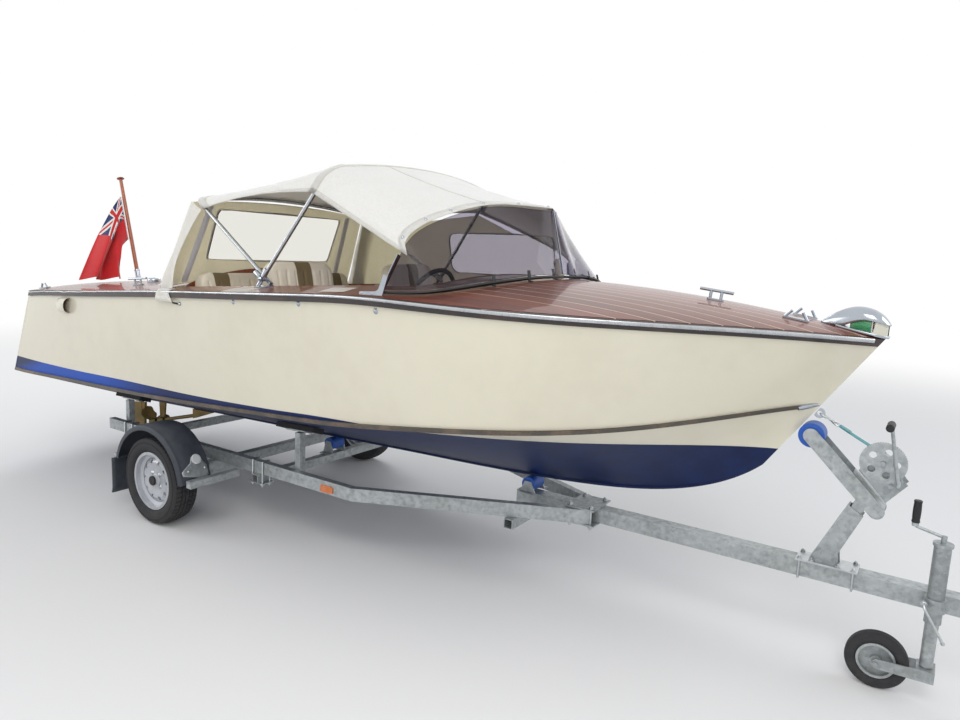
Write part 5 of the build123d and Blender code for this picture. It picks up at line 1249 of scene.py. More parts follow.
# Tyres with tread, over the plain ones
def tyre_profile(half, wide_r, bead_half, bead_r, tread_half, tread_r, crown_r, grooves,
                 groove_wide, groove_deep):
    """Section of a tyre from outer bead over the tread to the other bead."""
    side = smooth_line([(bead_half, 0, bead_r), (bead_half + 0.008, 0, bead_r + 0.006),
                        (half - 0.004, 0, bead_r + (wide_r - bead_r) * 0.45), (half, 0, wide_r),
                        (half - 0.0025, 0, wide_r + (tread_r - wide_r) * 0.62),
                        (tread_half, 0, tread_r)], 5)
    wall = [(p[0], p[2]) for p in side]
    tread, steps = [], 26
    marks = sorted({-1 + 2 * k / steps for k in range(steps + 1)}
                   | {g / tread_half + s * groove_wide / 2 / tread_half * f for g in grooves
                      for s in (-1, 1) for f in (0.7, 1.0)})
    for at in marks:
        y = at * tread_half
        r = crown_r - (crown_r - tread_r) * abs(at) ** 2.4
        inside = [abs(y - g) for g in grooves if abs(y - g) < groove_wide / 2 * 0.85]
        tread.append((y, r - (groove_deep if inside else 0)))
    return wall[:-1] + tread[::-1] + [(-y, r) for y, r in reversed(wall[:-1])]


WHEEL_X, WHEEL_Z, WHEEL_Y = -1.190, 0.261, 0.875
INNER_GROOVE, OUTER_GROOVE, TREAD_HALF = 0.0115, 0.034, 0.0665
TYRE_SECTION = tyre_profile(
    half=0.0775, wide_r=0.212, bead_half=0.058, bead_r=0.174, tread_half=TREAD_HALF,
    tread_r=0.2515, crown_r=0.2606, groove_wide=0.0062, groove_deep=0.0062,
    grooves=(-OUTER_GROOVE, -INNER_GROOVE, INNER_GROOVE, OUTER_GROOVE))
SIPE_LOW, SIPE_EDGE, SIPE_DEEP, SIPE_PITCH = 0.2512, 0.0655, 0.0055, 8


def sipe(i, k):
    """Cross grooves of the tread: how far each point of each turn step is let in."""
    at, r = TYRE_SECTION[k]
    if r < SIPE_LOW or abs(at) > SIPE_EDGE:
        return 0.0
    inner = abs(at) < INNER_GROOVE
    shift = 0.5 * (at > 0) + 0.35 * abs(at) / TREAD_HALF + (0.3 if inner else 0)
    phase = (i / SIPE_PITCH + shift) % 1.0
    return SIPE_DEEP * (0.45 if inner else 1.0) if phase < 0.2 else 0.0


for side_name, side in SIDES:
    centre, axis = Vector((WHEEL_X, side * WHEEL_Y, WHEEL_Z)), Y_AXIS * side
    Shape().lathe(TYRE_SECTION, centre, axis, 56 * SIPE_PITCH, sipe).build(
        f"tyre_tread_{side_name}", "tyre_rubber", f"wheel_{side_name}",
        instead=(f"tyre_{side_name}",), sharp=30)
    lines = Shape()
    for r, at in ((0.1870, 0.0704), (0.2270, 0.0772), (0.2305, 0.0768)):
        lines.lathe([(at + along, r + aside) for along, aside in (
            (-0.002, -0.0012), (0.0010, -0.0006), (0.0010, 0.0006), (-0.002, 0.0012))],
                    centre, axis, 96)
    lines.build(f"tyre_lines_{side_name}", "tyre_rubber", f"wheel_{side_name}")


# Wheel nuts, caps, valves and balance weights
def around_wheel(r, angle, y=0.0):
    """Point at a radius and an angle from the middle of the wheels."""
    return Vector((WHEEL_X + r * cos(angle), y, WHEEL_Z + r * sin(angle)))


NUT_CIRCLE, VALVE_R, WEIGHT_R, WEIGHT_Y = 0.050, 0.132, 0.168, 0.9335
for side_name, side in SIDES:
    way, body = Y_AXIS * side, f"wheel_{side_name}"
    rim_skin = skin_of(f"rim_{side_name}")

    def on_rim(r, angle):
        """Point on the outer face of the wheel."""
        return rim_skin.ray_cast(around_wheel(r, angle, side * 1.3), -way)[0]

    nuts = Shape()
    for k in range(4):
        spot = on_rim(NUT_CIRCLE, pi / 4 + pi / 2 * k)
        nuts.nut(spot - way * 0.001, way, 0.0105, washer=False)
        nuts.lathe(((-0.001, 0.0), (-0.001, 0.0135), (0.003, 0.0115), (0.003, 0.0)), spot, way, 24)
    nuts.build(f"wheel_nuts_{side_name}", "bolt_zinc", body, slot="galvanised")
    Shape().lathe(((-0.004, 0), (-0.004, 0.0285), (0.004, 0.0285), (0.0075, 0.0262),
                   (0.0085, 0.020), (0.0078, 0.0170), (0.0078, 0)),
                  on_rim(0, 0) - way * 0.004, way, 40).build(
        f"hub_cap_{side_name}", "black_rubber", body)
    a = radians(38)
    root, inward = on_rim(VALVE_R, a), Vector((-cos(a), 0, -sin(a)))
    stem = [root - way * 0.002, root + way * 0.008, root + way * 0.018 + inward * 0.006,
            root + way * 0.026 + inward * 0.013]
    Shape().tube(smooth_line(stem, 4), lambda t: 0.0052 - 0.0014 * t, 12).build(
        f"valve_{side_name}", "black_rubber", body)
    weights = Shape()
    for k in range(3):
        weights.tube([around_wheel(WEIGHT_R, radians(205 + 9 * k) + d, side * WEIGHT_Y)
                      for d in (-0.05, -0.02, 0.02, 0.05)], 0.0028, 8)
    weights.build(f"balance_weights_{side_name}", "bolt_zinc", body, slot="galvanised")


# Seats: padded, with channels and piping
PAD_THICK, VOXEL = 0.110, 0.0125
PRESSURE, STIFF, SIM_FRAMES = 4.0, 25, 20
SWELL = 0.012  # how far the simulation may move a point
CHANNEL_DEEP, CHANNEL_HALF, DISH = 0.0065, 0.0075, 0.004
PIPING_R, PIPING_LEVEL = 0.0045, 0.30


def blow_up(piece):
    """Fill a pad by a cloth simulation, and even out its skin."""
    before = corners_of(piece)
    sim = piece.modifiers.new("stuffing", "CLOTH")
    cloth_settings = sim.settings
    cloth_settings.use_pressure = True
    cloth_settings.uniform_pressure_force = PRESSURE
    cloth_settings.effector_weights.gravity = 0.0
    cloth_settings.tension_stiffness = cloth_settings.compression_stiffness = STIFF
    cloth_settings.bending_stiffness = 0.6
    cloth_settings.quality = 4
    sim.point_cache.frame_start, sim.point_cache.frame_end = 1, SIM_FRAMES
    for number in range(1, SIM_FRAMES + 1):
        bpy.context.scene.frame_set(number)
        bpy.context.view_layer.update()
    apply(piece, sim)
    bpy.context.scene.frame_set(1)
    moved = corners_of(piece) - before
    far = np.maximum(np.linalg.norm(moved, axis=1), 1e-9)
    moved *= np.minimum(1.0, SWELL / far)[:, None]
    move_corners(piece, before + moved)
    even = piece.modifiers.new("even skin", "SMOOTH")
    even.factor, even.iterations = 0.5, 6
    apply(piece, even)


def pad_mesh(name, centre, wide_way, deep_way, size, corner, channels):
    """Cushion blown up by a cloth simulation and fitted back to its box."""
    width, depth = size
    outline = []
    for cx, cy, start in ((1, 1, 0), (-1, 1, 90), (-1, -1, 180), (1, -1, 270)):
        for k in range(7):
            a = radians(start + 15 * k)
            outline.append((cx * (width / 2 - corner) + corner * cos(a),
                            cy * (depth / 2 - corner) + corner * sin(a)))
    shape = Shape()
    shape.rows([[(x * (1 - 2 * pull / width), y * (1 - 2 * pull / depth), z * PAD_THICK)
                 for x, y in outline] for z, pull in ((-0.5, 0.020), (-0.45, 0.005), (-0.38, 0),
                                                      (0.38, 0), (0.45, 0.005), (0.5, 0.020))],
               ring=True, caps=True)
    data = bpy.data.meshes.new(name)
    data.from_pydata(shape.points, [], shape.faces)
    piece = add_object(name, data)
    grid = piece.modifiers.new("even mesh", "REMESH")
    grid.mode, grid.voxel_size = "VOXEL", VOXEL
    apply(piece, grid)
    blow_up(piece)
    finer = piece.modifiers.new("finer", "SUBSURF")
    finer.levels = finer.render_levels = 1
    apply(piece, finer)
    co = corners_of(piece)
    low, high = co.min(0), co.max(0)
    co = (co - (low + high) / 2) * (np.array((width, depth, PAD_THICK)) / (high - low))
    top = np.clip((co[:, 2] / PAD_THICK * 2 - 0.2) / 0.5, 0, 1)
    inner = np.clip((width / 2 - 0.035 - abs(co[:, 0])) / 0.01, 0, 1)
    inner *= np.clip((depth / 2 - 0.045 - abs(co[:, 1])) / 0.02, 0, 1)
    pitch = (width - 0.09) / channels
    phase = (co[:, 0] / pitch + 0.5 * (channels % 2)) % 1.0
    gap = np.minimum(phase, 1 - phase) * pitch
    co[:, 2] -= top * inner * CHANNEL_DEEP * np.exp(-(gap / CHANNEL_HALF) ** 2)
    co[:, 2] -= top * DISH * ((1 - (2 * co[:, 0] / width) ** 2)
                              * (1 - (2 * co[:, 1] / depth) ** 2))
    ways = np.array([wide_way, deep_way, wide_way.cross(deep_way)])
    move_corners(piece, co @ ways + np.array(centre))
    return piece


def piping(piece, centre, wide_way, deep_way, size):
    """Cord sewn round a pad where its side meets its face."""
    up, centre = wide_way.cross(deep_way), Vector(centre)
    tree = BVHTree.FromPolygons([v.co for v in piece.data.vertices],
                                [list(f.vertices) for f in piece.data.polygons])
    path = []
    for a in turns(120):
        out = (wide_way * cos(a) * size[0] + deep_way * sin(a) * size[1]).normalized()
        hit = tree.ray_cast(centre + up * PAD_THICK * PIPING_LEVEL + out * 2, -out)[0]
        if hit:
            path.append(hit - out * PIPING_R * 0.35)
    path = [path[k - 1].lerp(path[k], 0.5) for k in range(len(path))]
    rows = []
    for i, point in enumerate(path):
        third = (path[(i + 1) % len(path)] - path[i - 1]).normalized().cross(up).normalized()
        rows.append([point + up * PIPING_R * cos(a) + third * PIPING_R * sin(a)
                     for a in turns(8)])
    return Shape().rows(rows, ring=True, loop=True)


def make_pad(kind, name, centre, wide_way, deep_way, size, corner, channels):
    """One cushion with its piping, in place of the plain pads."""
    pad = pad_mesh(f"{kind}_{name}", centre, wide_way, deep_way, size, corner, channels)
    cord = piping(pad, centre, wide_way, deep_way, size)
    dress(pad, "seat_vinyl", sharp=80,
          instead=("seat_cushions" if kind == "seat" else "seat_backs",))
    cord.build(f"{kind}_piping_{name}", "seat_vinyl", sharp=80)


SEATS = (
    # name, back_x, centres across, width, depth, top of back, channels
    ("front_starboard", -0.290, -0.480, 0.460, 0.480, 1.580, 6),
    ("front_port", -0.290, 0.480, 0.460, 0.480, 1.580, 6),
    ("rear_bench", -1.020, 0.0, 1.240, 0.410, 1.485, 15),
)
LEAN = radians(12)
SEAT_MIDDLE, BACK_FOOT = 1.005, 0.950
for name, back_x, y, width, depth, top_z, channels in SEATS:
    make_pad("seat", name, (back_x + depth / 2, y, SEAT_MIDDLE), -Y_AXIS, X_AXIS, (width, depth),
             0.045, channels)
    height = (top_z - BACK_FOOT) / cos(LEAN)
    rise, face = Vector((-sin(LEAN), 0, cos(LEAN))), Vector((cos(LEAN), 0, sin(LEAN)))
    foot = Vector((back_x - 0.001, y, BACK_FOOT)) - face * PAD_THICK / 2
    make_pad("back", name, foot + rise * height / 2, Y_AXIS, rise, (width, height), 0.070,
             channels)


# Bow lamp: chrome hood over coloured side lenses and a clear nose
LAMP_LINE = np.array((  # station, top, half width and lower edge
    (2.148, 0.006, 0.005, 0.0), (2.170, 0.026, 0.015, 0.0), (2.200, 0.054, 0.030, 0.001),
    (2.235, 0.079, 0.044, 0.010), (2.270, 0.096, 0.055, 0.034), (2.305, 0.103, 0.060, 0.052),
    (2.340, 0.101, 0.061, 0.056), (2.370, 0.090, 0.054, 0.055), (2.390, 0.074, 0.040, 0.052),
    (2.402, 0.056, 0.018, 0.050)))


def lamp_at(x):
    """Top, half width and lower edge of the lamp's hood at a station."""
    return [float(np.interp(x, LAMP_LINE[:, 0], LAMP_LINE[:, k])) for k in (1, 2, 3)]


LAMP_AFT, LAMP_LONG, LAMP_MIDDLE = 2.148, 0.254, 2.3
DECK_FROM, DECK_SPAN = 2.16, 0.2  # where the deck's slope under the lamp is taken
LAMP_X = [LAMP_AFT + LAMP_LONG * (1 - (1 - t) ** 1.35) for t in shares(40)]
deck_low, deck_high = (on_deck(x, 0)[0].z for x in (DECK_FROM, DECK_FROM + DECK_SPAN))


def lamp_foot(x):
    """Height of the deck under the lamp."""
    return deck_low + (x - DECK_FROM) / DECK_SPAN * (deck_high - deck_low)


smooth_lamp = np.array([lamp_at(x) for x in LAMP_X])
for _ in range(3):
    smooth_lamp[1:-1] = (smooth_lamp[:-2] + 2 * smooth_lamp[1:-1] + smooth_lamp[2:]) / 4
rows = []
for x, (top, half, lip) in zip(LAMP_X, smooth_lamp):
    base = lamp_foot(x)
    rows.append([(x, half * cos(a), base + lip + (top - lip) * sin(a) ** 0.85)
                 for a in half_turn(28)])
Shape().rows(rows).build("bow_lamp_hood", "stainless", instead=("bow_light",), thicken=0.002,
                         sharp=60)
plate = [(x, half + 0.004) for x, (_, half, _) in zip(LAMP_X, smooth_lamp) if x > 2.205]
plate += [(x, -y) for x, y in reversed(plate)]
slope = Vector((DECK_SPAN, 0, deck_high - deck_low)).normalized()
Shape().slab([((x - LAMP_MIDDLE) / slope.x, y) for x, y in plate],
             (LAMP_MIDDLE, 0, lamp_foot(LAMP_MIDDLE)), slope, Y_AXIS, 0.009,
             middle=False).build("bow_lamp_base", "stainless")
for side_name, side, colour in (("starboard", -1, "green_lens"), ("port", 1, "red_lens")):
    for part_name, low, high, finish in (("colour", 2.262, 2.338, colour),
                                         ("clear", 2.340, 2.396, "clear_window")):
        rows = []
        for t in shares(14):
            x = low + (high - low) * t
            half, lip = (float(np.interp(x, LAMP_X, smooth_lamp[:, c])) for c in (1, 2))
            y, base = side * max(0.003, half - 0.0055), lamp_foot(x)
            rows.append([(x, y, base + 0.008), (x, y * 1.03, base + 0.008 + (lip - 0.006) * 0.5),
                         (x, y, base + lip + 0.006)])
        Shape().rows(rows).build(f"bow_lamp_{part_name}_{side_name}", finish, thicken=0.003,
                                 slot="clear_window", sharp=60)
BAR_X, BAR_Y, BULB_X = 2.339, 0.0575, 2.31
bars = Shape()
for side in (-1, 1):
    foot = Vector((BAR_X, side * BAR_Y, lamp_foot(BAR_X)))
    bars.tube([foot + UP * 0.006, foot + UP * 0.058], 0.0022, 8)
bars.dome((BULB_X, 0, lamp_foot(BULB_X) + 0.030), UP, 0.013, 0.018, 0.022)
bars.build("bow_lamp_bars", "stainless")


# Clips that hold the screen down
clips = Shape()
for side in (-1, 1):
    for x, y, lean in ((0.865, 0.560, 0.9), (0.915, 0.330, 0.5), (0.932, 0.120, 0.2)):
        foot = on_deck(x + 0.012, side * y)[0]
        outward = Vector((cos(lean), side * sin(lean), 0))
        path = [foot + outward * 0.030 + UP * 0.003, foot + outward * 0.006 + UP * 0.005,
                foot + outward * 0.004 + UP * 0.020, foot - outward * 0.006 + UP * 0.052]
        clips.ribbon(smooth_line(path, 5), outward.cross(UP), 0.016, 0.004)
        clips.dome(foot + outward * 0.020 + UP * 0.004, UP, 0.004, 0.0025)
clips.build("screen_clips", "black_rubber")


# Winch strap with its hook
HOOK_LONG = 0.062
STRAP_EYE = Vector((2.187, 0, 1.0595))
strap = corners_of(NODES["winch_strap"])
near = strap[strap[:, 0] > strap[:, 0].max() - 0.02].mean(0)
start = Vector((near[0], 0, near[2]))
way = (STRAP_EYE - start).normalized()
reach = HOOK_LONG + 0.014
end = STRAP_EYE - way * reach
lift = toward(way.cross(Y_AXIS), UP)
path = [start.lerp(end, t) - UP * 0.002 * sin(pi * t) for t in shares(16)]
Shape().ribbon(path, Y_AXIS, 0.044, 0.0024).ribbon(
    [start.lerp(end, t) + lift * 0.0026 for t in (0.70, 0.78, 0.86, 0.94)], Y_AXIS, 0.042,
    0.0022).build("strap_webbing", "teal_webbing", instead=("winch_strap",))
edges = Shape()
for offset in (-0.016, 0.016):
    line = [start.lerp(end, 0.71 + 0.22 * t) + lift * 0.0042 + Y_AXIS * offset for t in shares(12)]
    for a, b in zip(line[::2], line[1::2]):
        edges.tube([a, b], THREAD_R, 4)
edges.build("strap_stitching", "stitch", slot="teal_webbing")


def by_strap(*steps):
    """Points given by their step along the strap from its end and their step to port."""
    return [end + way * along + Y_AXIS * aside for along, aside in steps]


WIRE_R = 0.0042
snap = Shape().tube(by_strap((-0.006, -0.026), (-0.006, 0.026)), WIRE_R, 10)
for turn in (-1, 1):
    snap.tube(smooth_line(by_strap((-0.006, turn * 0.024), (0.010, turn * 0.020),
                                   (0.024, turn * 0.006)), 5), WIRE_R, 10)
bend = by_strap((0.016, 0), (0.036, 0.004), (reach - 0.014, 0.013), (reach - 0.003, 0.008),
                (reach, 0), (reach - 0.003, -0.008), (reach - 0.014, -0.013),
                (reach - 0.028, -0.011))
snap.tube(smooth_line(bend, 7), lambda t: 0.0058 - 0.0022 * t, 12)
snap.ribbon(by_strap((0.026, -0.001), (reach - 0.024, -0.010)), lift, 0.006, 0.002)
snap.build("strap_hook", "bolt_zinc", slot="galvanised")


# Moulded mudguards
GUARD_SECTION = ((0.7685, 0.305), (0.7680, 0.326), (0.7715, 0.3315), (0.780, 0.3330),
                 (0.797, 0.3332), (0.804, 0.3368), (0.870, 0.3374), (0.930, 0.3368),
                 (0.937, 0.3332), (0.953, 0.3330), (0.9620, 0.3315), (0.9655, 0.326),
                 (0.9650, 0.309), (0.9665, 0.305))
GUARD_ENDS, GUARD_STEP, RIVET_R = (8, 164), 1.5, 0.3335
BEADS, BEAD_DEEP, BEAD_HALF = (9, 147), 0.0028, 1.4  # grooves across the guard
for side_name, side in SIDES:
    rows = []
    for k in range(105):
        turn = GUARD_STEP * k
        dent = BEAD_DEEP * sum(exp(-((at - turn) / BEAD_HALF) ** 2) for at in BEADS)
        rows.append([around_wheel(r - (dent if r > 0.33 else 0), radians(GUARD_ENDS[0] + turn),
                                  side * y) for y, r in GUARD_SECTION])
    walls = [[around_wheel(min(r, 0.309), radians(turn), side * y) for y, r in GUARD_SECTION]
             for turn in GUARD_ENDS]
    Shape().rows([walls[0], *rows, walls[1]]).build(
        f"mudguard_{side_name}", "guard_plastic", instead=("mudguards",), thicken=0.0032, sharp=50)
    heads = Shape()
    for angle in (60, 118):
        out = Vector((cos(radians(angle)), 0, sin(radians(angle))))
        for y in (0.788, 0.950):
            heads.dome(around_wheel(RIVET_R, radians(angle), side * y), out, 0.006, 0.003)
    heads.build(f"mudguard_rivets_{side_name}", "guard_plastic")


# Bolts of the trailer
def u_bolt(shape, x, y, half, low, high, size=0.006):
    """Bar bent over a rail, with a plate and two nuts below."""
    legs = [Vector((x, y - half - size, low - 0.016))]
    for a in reversed(half_turn(8)):
        legs.append(Vector((x, y + (half + size) * cos(a), high + size + 0.004 * sin(a) - 0.004)))
    legs.append(Vector((x, y + half + size, low - 0.016)))
    shape.tube(legs, size, 10)
    for turn in (-1, 1):
        shape.nut((x, y + turn * (half + size), low - 0.001), -UP, 0.0105, stud=0.6)
    shape.slab(box_outline(-0.016, 0.016, -half - 0.022, half + 0.022), (x, y, low + 0.003),
               X_AXIS, Y_AXIS, 0.005)


CROSS_TUBES, BOLT_STEP = (-0.640, -1.960), 0.042
RAIL_Y, RAIL_HALF, RAIL_FOOT, RAIL_TOP = 0.593, 0.020, 0.292, 0.418
bolts = Shape()
for side in (-1, 1):
    for x in CROSS_TUBES:
        for step in (-BOLT_STEP, BOLT_STEP):
            u_bolt(bolts, x + step, side * RAIL_Y, RAIL_HALF, RAIL_FOOT, RAIL_TOP)
bolts.build("rail_u_bolts", "bolt_zinc", slot="galvanised")

CLAMP_TOP, CLAMP_FOOT, CLAMP_NUT, CLAMP_R = 0.4275, 0.3375, 0.0115, 0.0055
clamps = Shape()
for x in (1.104, 1.216):
    for y in (-0.086, 0.086):
        clamps.nut((x, y, CLAMP_TOP), UP, CLAMP_NUT)
        clamps.nut((x, y, CLAMP_FOOT), -UP, CLAMP_NUT, stud=0.7)
        clamps.lathe(((0, CLAMP_R), (0.090, CLAMP_R)), (x, y, 0.338), UP, 10)
clamps.build("drawbar_clamp_bolts", "bolt_zinc", slot="galvanised")


# Grips of the cranks, locking lever of the jockey wheel, and the winch post's plate and U-bolts
grips = Shape()
for foot, way, long in (((2.455, -0.2150, 1.080), Y_AXIS, 0.086),
                        ((2.576, -0.112, 0.7105), UP, 0.0885)):
    ribs = [(0.010 + (long - 0.020) * k / 12,
             0.0138 + 0.0012 * sin(pi * k / 12) - 0.0005 * (k % 2)) for k in range(1, 12)]
    grips.lathe([(0, 0), (0, 0.0135), (0.003, 0.0152), (0.010, 0.0138), *ribs,
                 (long - 0.010, 0.0138), (long - 0.003, 0.0152), (long, 0.0135), (long, 0)],
                foot, way, 28)
grips.build("crank_grips", "black_rubber")
fixed = Shape()
lever = ((2.640, -0.150, 0.410), (2.638, -0.172, 0.412), (2.650, -0.184, 0.392),
         (2.690, -0.188, 0.330), (2.716, -0.190, 0.288))
fixed.tube(smooth_line(lever, 5), 0.0052, 12)
fixed.dome(lever[-1], (0.5, 0, -0.85), 0.0075, 0.006, 0.004)
fixed.nut(lever[0], -Y_AXIS, 0.0105, stud=0.2)
fixed.slab(box_outline(-0.120, 0.120, -0.056, 0.056), (2.280, 0, 0.4235), X_AXIS, Y_AXIS,
           0.0085)
BOW_Y, PLATE_TOP, PLATE_NUT = 0.0465, 0.4280, 0.0098
for x in (2.176, 2.384):
    bow = [Vector((x, -BOW_Y, 0.440)), Vector((x, -BOW_Y, 0.352))]
    bow += [Vector((x, -0.0405 - 0.006 * cos(a), 0.3495 - 0.009 * sin(a)))
            for a in (pi / 6, pi / 3, pi / 2)]
    bow += [Vector((p.x, -p.y, p.z)) for p in reversed(bow)]
    fixed.tube(bow, 0.005, 12)
    for y in (-BOW_Y, BOW_Y):
        fixed.nut((x, y, PLATE_TOP), UP, PLATE_NUT, stud=0.3)
for x in (2.222, 2.324):
    fixed.nut((x, -0.046, PLATE_TOP), UP, PLATE_NUT, stud=0.5)
fixed.build("winch_and_jockey_fixings", "bolt_zinc", slot="galvanised")


# Cockpit rim: board round the opening, with a raised back
RIM_AFT, RIM_FORE, RIM_HALF, RIM_CORNER, RIM_THICK = -1.268, 0.638, 0.734, 0.180, 0.015
RIM_STEP, RIM_LIP, RIM_FOOT, RIM_RISE_FROM = 0.03, 0.004, 0.070, RIM_AFT + 0.06
path = []
for x, y, start in ((RIM_FORE - RIM_CORNER, 1, 0), (RIM_AFT + RIM_CORNER, 1, 90),
                    (RIM_AFT + RIM_CORNER, -1, 180), (RIM_FORE - RIM_CORNER, -1, 270)):
    for k in range(13):
        a = radians(start + 7.5 * k)
        out = Vector((cos(a), sin(a), 0))
        path.append((Vector((x, y * (RIM_HALF - RIM_CORNER), 0)) + out * RIM_CORNER, out))
fine = []
for i, (spot, out) in enumerate(path):
    after, turned = path[(i + 1) % len(path)]
    steps = max(1, round((after - spot).length / RIM_STEP))
    fine += [(spot.lerp(after, k / steps), out.lerp(turned, k / steps)) for k in range(steps)]
rows = []
for spot, out in fine:
    deck = on_deck(*(spot + out * 0.016).xy)[0].z
    foot, high = deck - RIM_FOOT, deck + RIM_LIP
    if spot.x < RIM_RISE_FROM:
        share = min(1.0, (RIM_RISE_FROM - spot.x) / 0.05)
        high += share * max(0.0, 1.505 - 0.24 * spot.y**2 - deck - RIM_LIP)
    rows.append([(spot.x - out.x * back, spot.y - out.y * back, z) for back, z in (
        (0, foot), (0, high - 0.003), (0.002, high - 0.0008), (RIM_THICK / 2, high),
        (RIM_THICK - 0.002, high - 0.0008), (RIM_THICK, high - 0.003), (RIM_THICK, foot))])
Shape().rows(rows, ring=True, loop=True).build("cockpit_rim", "varnished_trim",
                                               instead=("coaming",), sharp=50)


# Brackets at the feet of the screen and of the hood tubes
feet = Shape()
for side in (-1, 1):
    y = side * 0.929
    low = on_deck(0.46, side * 0.925)[0]
    outline = [(-0.045, 0.001), (0.088, 0.003), (0.118, 0.088), (0.094, 0.096), (0.066, 0.030),
               (0.050, 0.020), (-0.045, 0.014)]
    feet.slab(outline, (low.x, y, low.z), X_AXIS, UP, 0.006)
    for x in (-0.030, 0.030):
        feet.dome((low.x + x, y + side * 0.003, low.z + 0.009), Y_AXIS * side, 0.0042, 0.0022)
    knuckle = HOOD_PIVOT + Y_AXIS * side * 0.775
    feet.lathe(((-0.024, 0), (-0.024, 0.010), (-0.020, 0.0135), (0.020, 0.0135), (0.024, 0.010),
                (0.024, 0)), knuckle, Y_AXIS, 28)
    feet.nut(knuckle + Y_AXIS * side * 0.022, Y_AXIS * side, 0.0075, washer=False)
    for way, *_ in HOOD_ARCHES:
        feet.lathe(((0.016, 0.0), (0.016, 0.0150), (0.060, 0.0150), (0.064, 0.0128), (0.064, 0.0)),
                   knuckle, way, 28)
feet.build("screen_and_hood_feet", "stainless")


# Chrome tips of the chine rails
CHINE_END, TIP_LONG, TIP_LAP = 2.112, 0.078, 0.008


def chine_middle(x, side):
    """Middle of the chine rail where it crosses a plane square to X."""
    cut = slice_at("hull_rails", x)
    return cut[(cut[:, 1] * side > 0) & (cut[:, 2] < 1.2)].mean(0)


for side_name, side in SIDES:
    height = chine_middle(CHINE_END, side)[2]
    climb = (height - chine_middle(CHINE_END - 0.08, side)[2]) / 0.08
    rows = []
    for t in shares(12):
        x = CHINE_END - TIP_LAP + TIP_LONG * t
        hit, out = on_topside(x, height + climb * (x - CHINE_END), side)
        half = 0.0120 * sqrt(max(0.02, 1 - t**3))
        ahead = (X_AXIS - out * out.x).normalized()
        up = out.cross(ahead).normalized()
        rows.append([hit + up * half * cos(a) + out * 0.0165 * (1 - 0.75 * t**2) * sin(a)
                     for a in half_turn(12)])
    Shape().rows(rows).build(f"chine_tip_{side_name}", "stainless", sharp=60)


# Front plates of the mudguards with their reflectors, rear flaps, and side reflectors
PLATE_LINE = (  # distance from the middle and angle round the wheel
    (0.948, 16.5), (0.950, 20.5), (0.935, 22.5), (0.888, 27.5), (0.872, 33.0), (0.845, 35.5),
    (0.818, 33.0), (0.806, 27.0), (0.790, 23.0), (0.788, 13.5), (0.800, 11.5), (0.850, 12.0))
PLATE_MIDDLE, PLATE_R = (0.865, 21.0), 0.3425
PLATE_RINGS = ((0.0, PLATE_R), (0.3, PLATE_R), (0.6, PLATE_R), (0.86, PLATE_R), (0.97, 0.3420),
               (1.0, 0.3405), (1.0, 0.3375))
FLAP_FOOT, FLAP_TOP = 0.118, 0.3365


def on_plate(y, angle):
    """Point on a front plate and the way out from it."""
    a = radians(angle)
    return around_wheel(PLATE_R, a, y), Vector((cos(a), 0, sin(a)))


for side_name, side in SIDES:
    (my, ma), heads = PLATE_MIDDLE, Shape()
    Shape().rows([[around_wheel(r, radians(ma + (a - ma) * ring), side * (my + (y - my) * ring))
                   for y, a in PLATE_LINE] for ring, r in PLATE_RINGS], ring=True).build(
        f"guard_plate_{side_name}", "galvanised", sharp=60)
    Shape().lathe(((0, 0), (0, 0.0300), (0.0040, 0.0300), (0.0060, 0.0275), (0.0065, 0.0200),
                   (0.0068, 0)), *on_plate(side * 0.845, 30), 40).build(
        f"round_reflector_{side_name}", "white_reflector", slot="clear_window")
    for y in (0.911, 0.805):
        heads.nut(*on_plate(side * y, 20), 0.0072, stud=0.3)
    heads.build(f"guard_plate_bolts_{side_name}", "bolt_zinc", slot="galvanised")
    Shape().rows([[(-1.545 - 0.010 * max(0.0, 1 - t / 0.16) ** 1.5, side * (0.7645 + 0.205 * s),
                    FLAP_FOOT + (FLAP_TOP - FLAP_FOOT) * t) for s in shares(10)]
                  for t in shares(12)]).build(
        f"mud_flap_{side_name}", "guard_plastic", thicken=0.0105, sharp=60)
    outline = []
    for k in range(40):
        a = radians(9 * k + 4.5)
        outline.append(((0.046 - 0.005 * (1 - abs(cos(a)))) * signed_power(cos(a), 0.25),
                        0.0195 * signed_power(sin(a), 0.25)))
    Shape().slab(outline, (-0.086, side * 0.6135, 0.376), X_AXIS * -side, UP, 0.0075, 0.002,
                 middle=False).build(f"amber_reflector_{side_name}", "amber", slot="clear_window")


# Camera where the photographer stood, with its focal length in pixels of a picture 960 wide
CAMERA_AT, CAMERA_TURN, CAMERA_FOCAL = (2.5825, -3.2610, 1.6628), (-33.076, 8.489, 2.578), 711.235


def set_camera():
    """Camera of the photograph, from its place, three angles and focal length."""
    yaw, pitch, roll = (radians(a) for a in CAMERA_TURN)
    ahead = Vector((sin(yaw) * cos(pitch), cos(yaw) * cos(pitch), -sin(pitch)))
    right = Vector((cos(yaw), -sin(yaw), 0))
    up = right.cross(ahead)
    right, up = right * cos(roll) + up * sin(roll), up * cos(roll) - right * sin(roll)
    data = bpy.data.cameras.new("camera")
    data.sensor_fit, data.sensor_width = "HORIZONTAL", 36
    data.lens = CAMERA_FOCAL / 960 * 36
    data.dof.use_dof = False
    data.clip_start, data.clip_end = 0.05, 200
    camera = add_object("camera", data)
    camera.matrix_world = Matrix((right, up, -ahead)).transposed().to_4x4()
    camera.location = CAMERA_AT
    bpy.context.scene.camera = camera


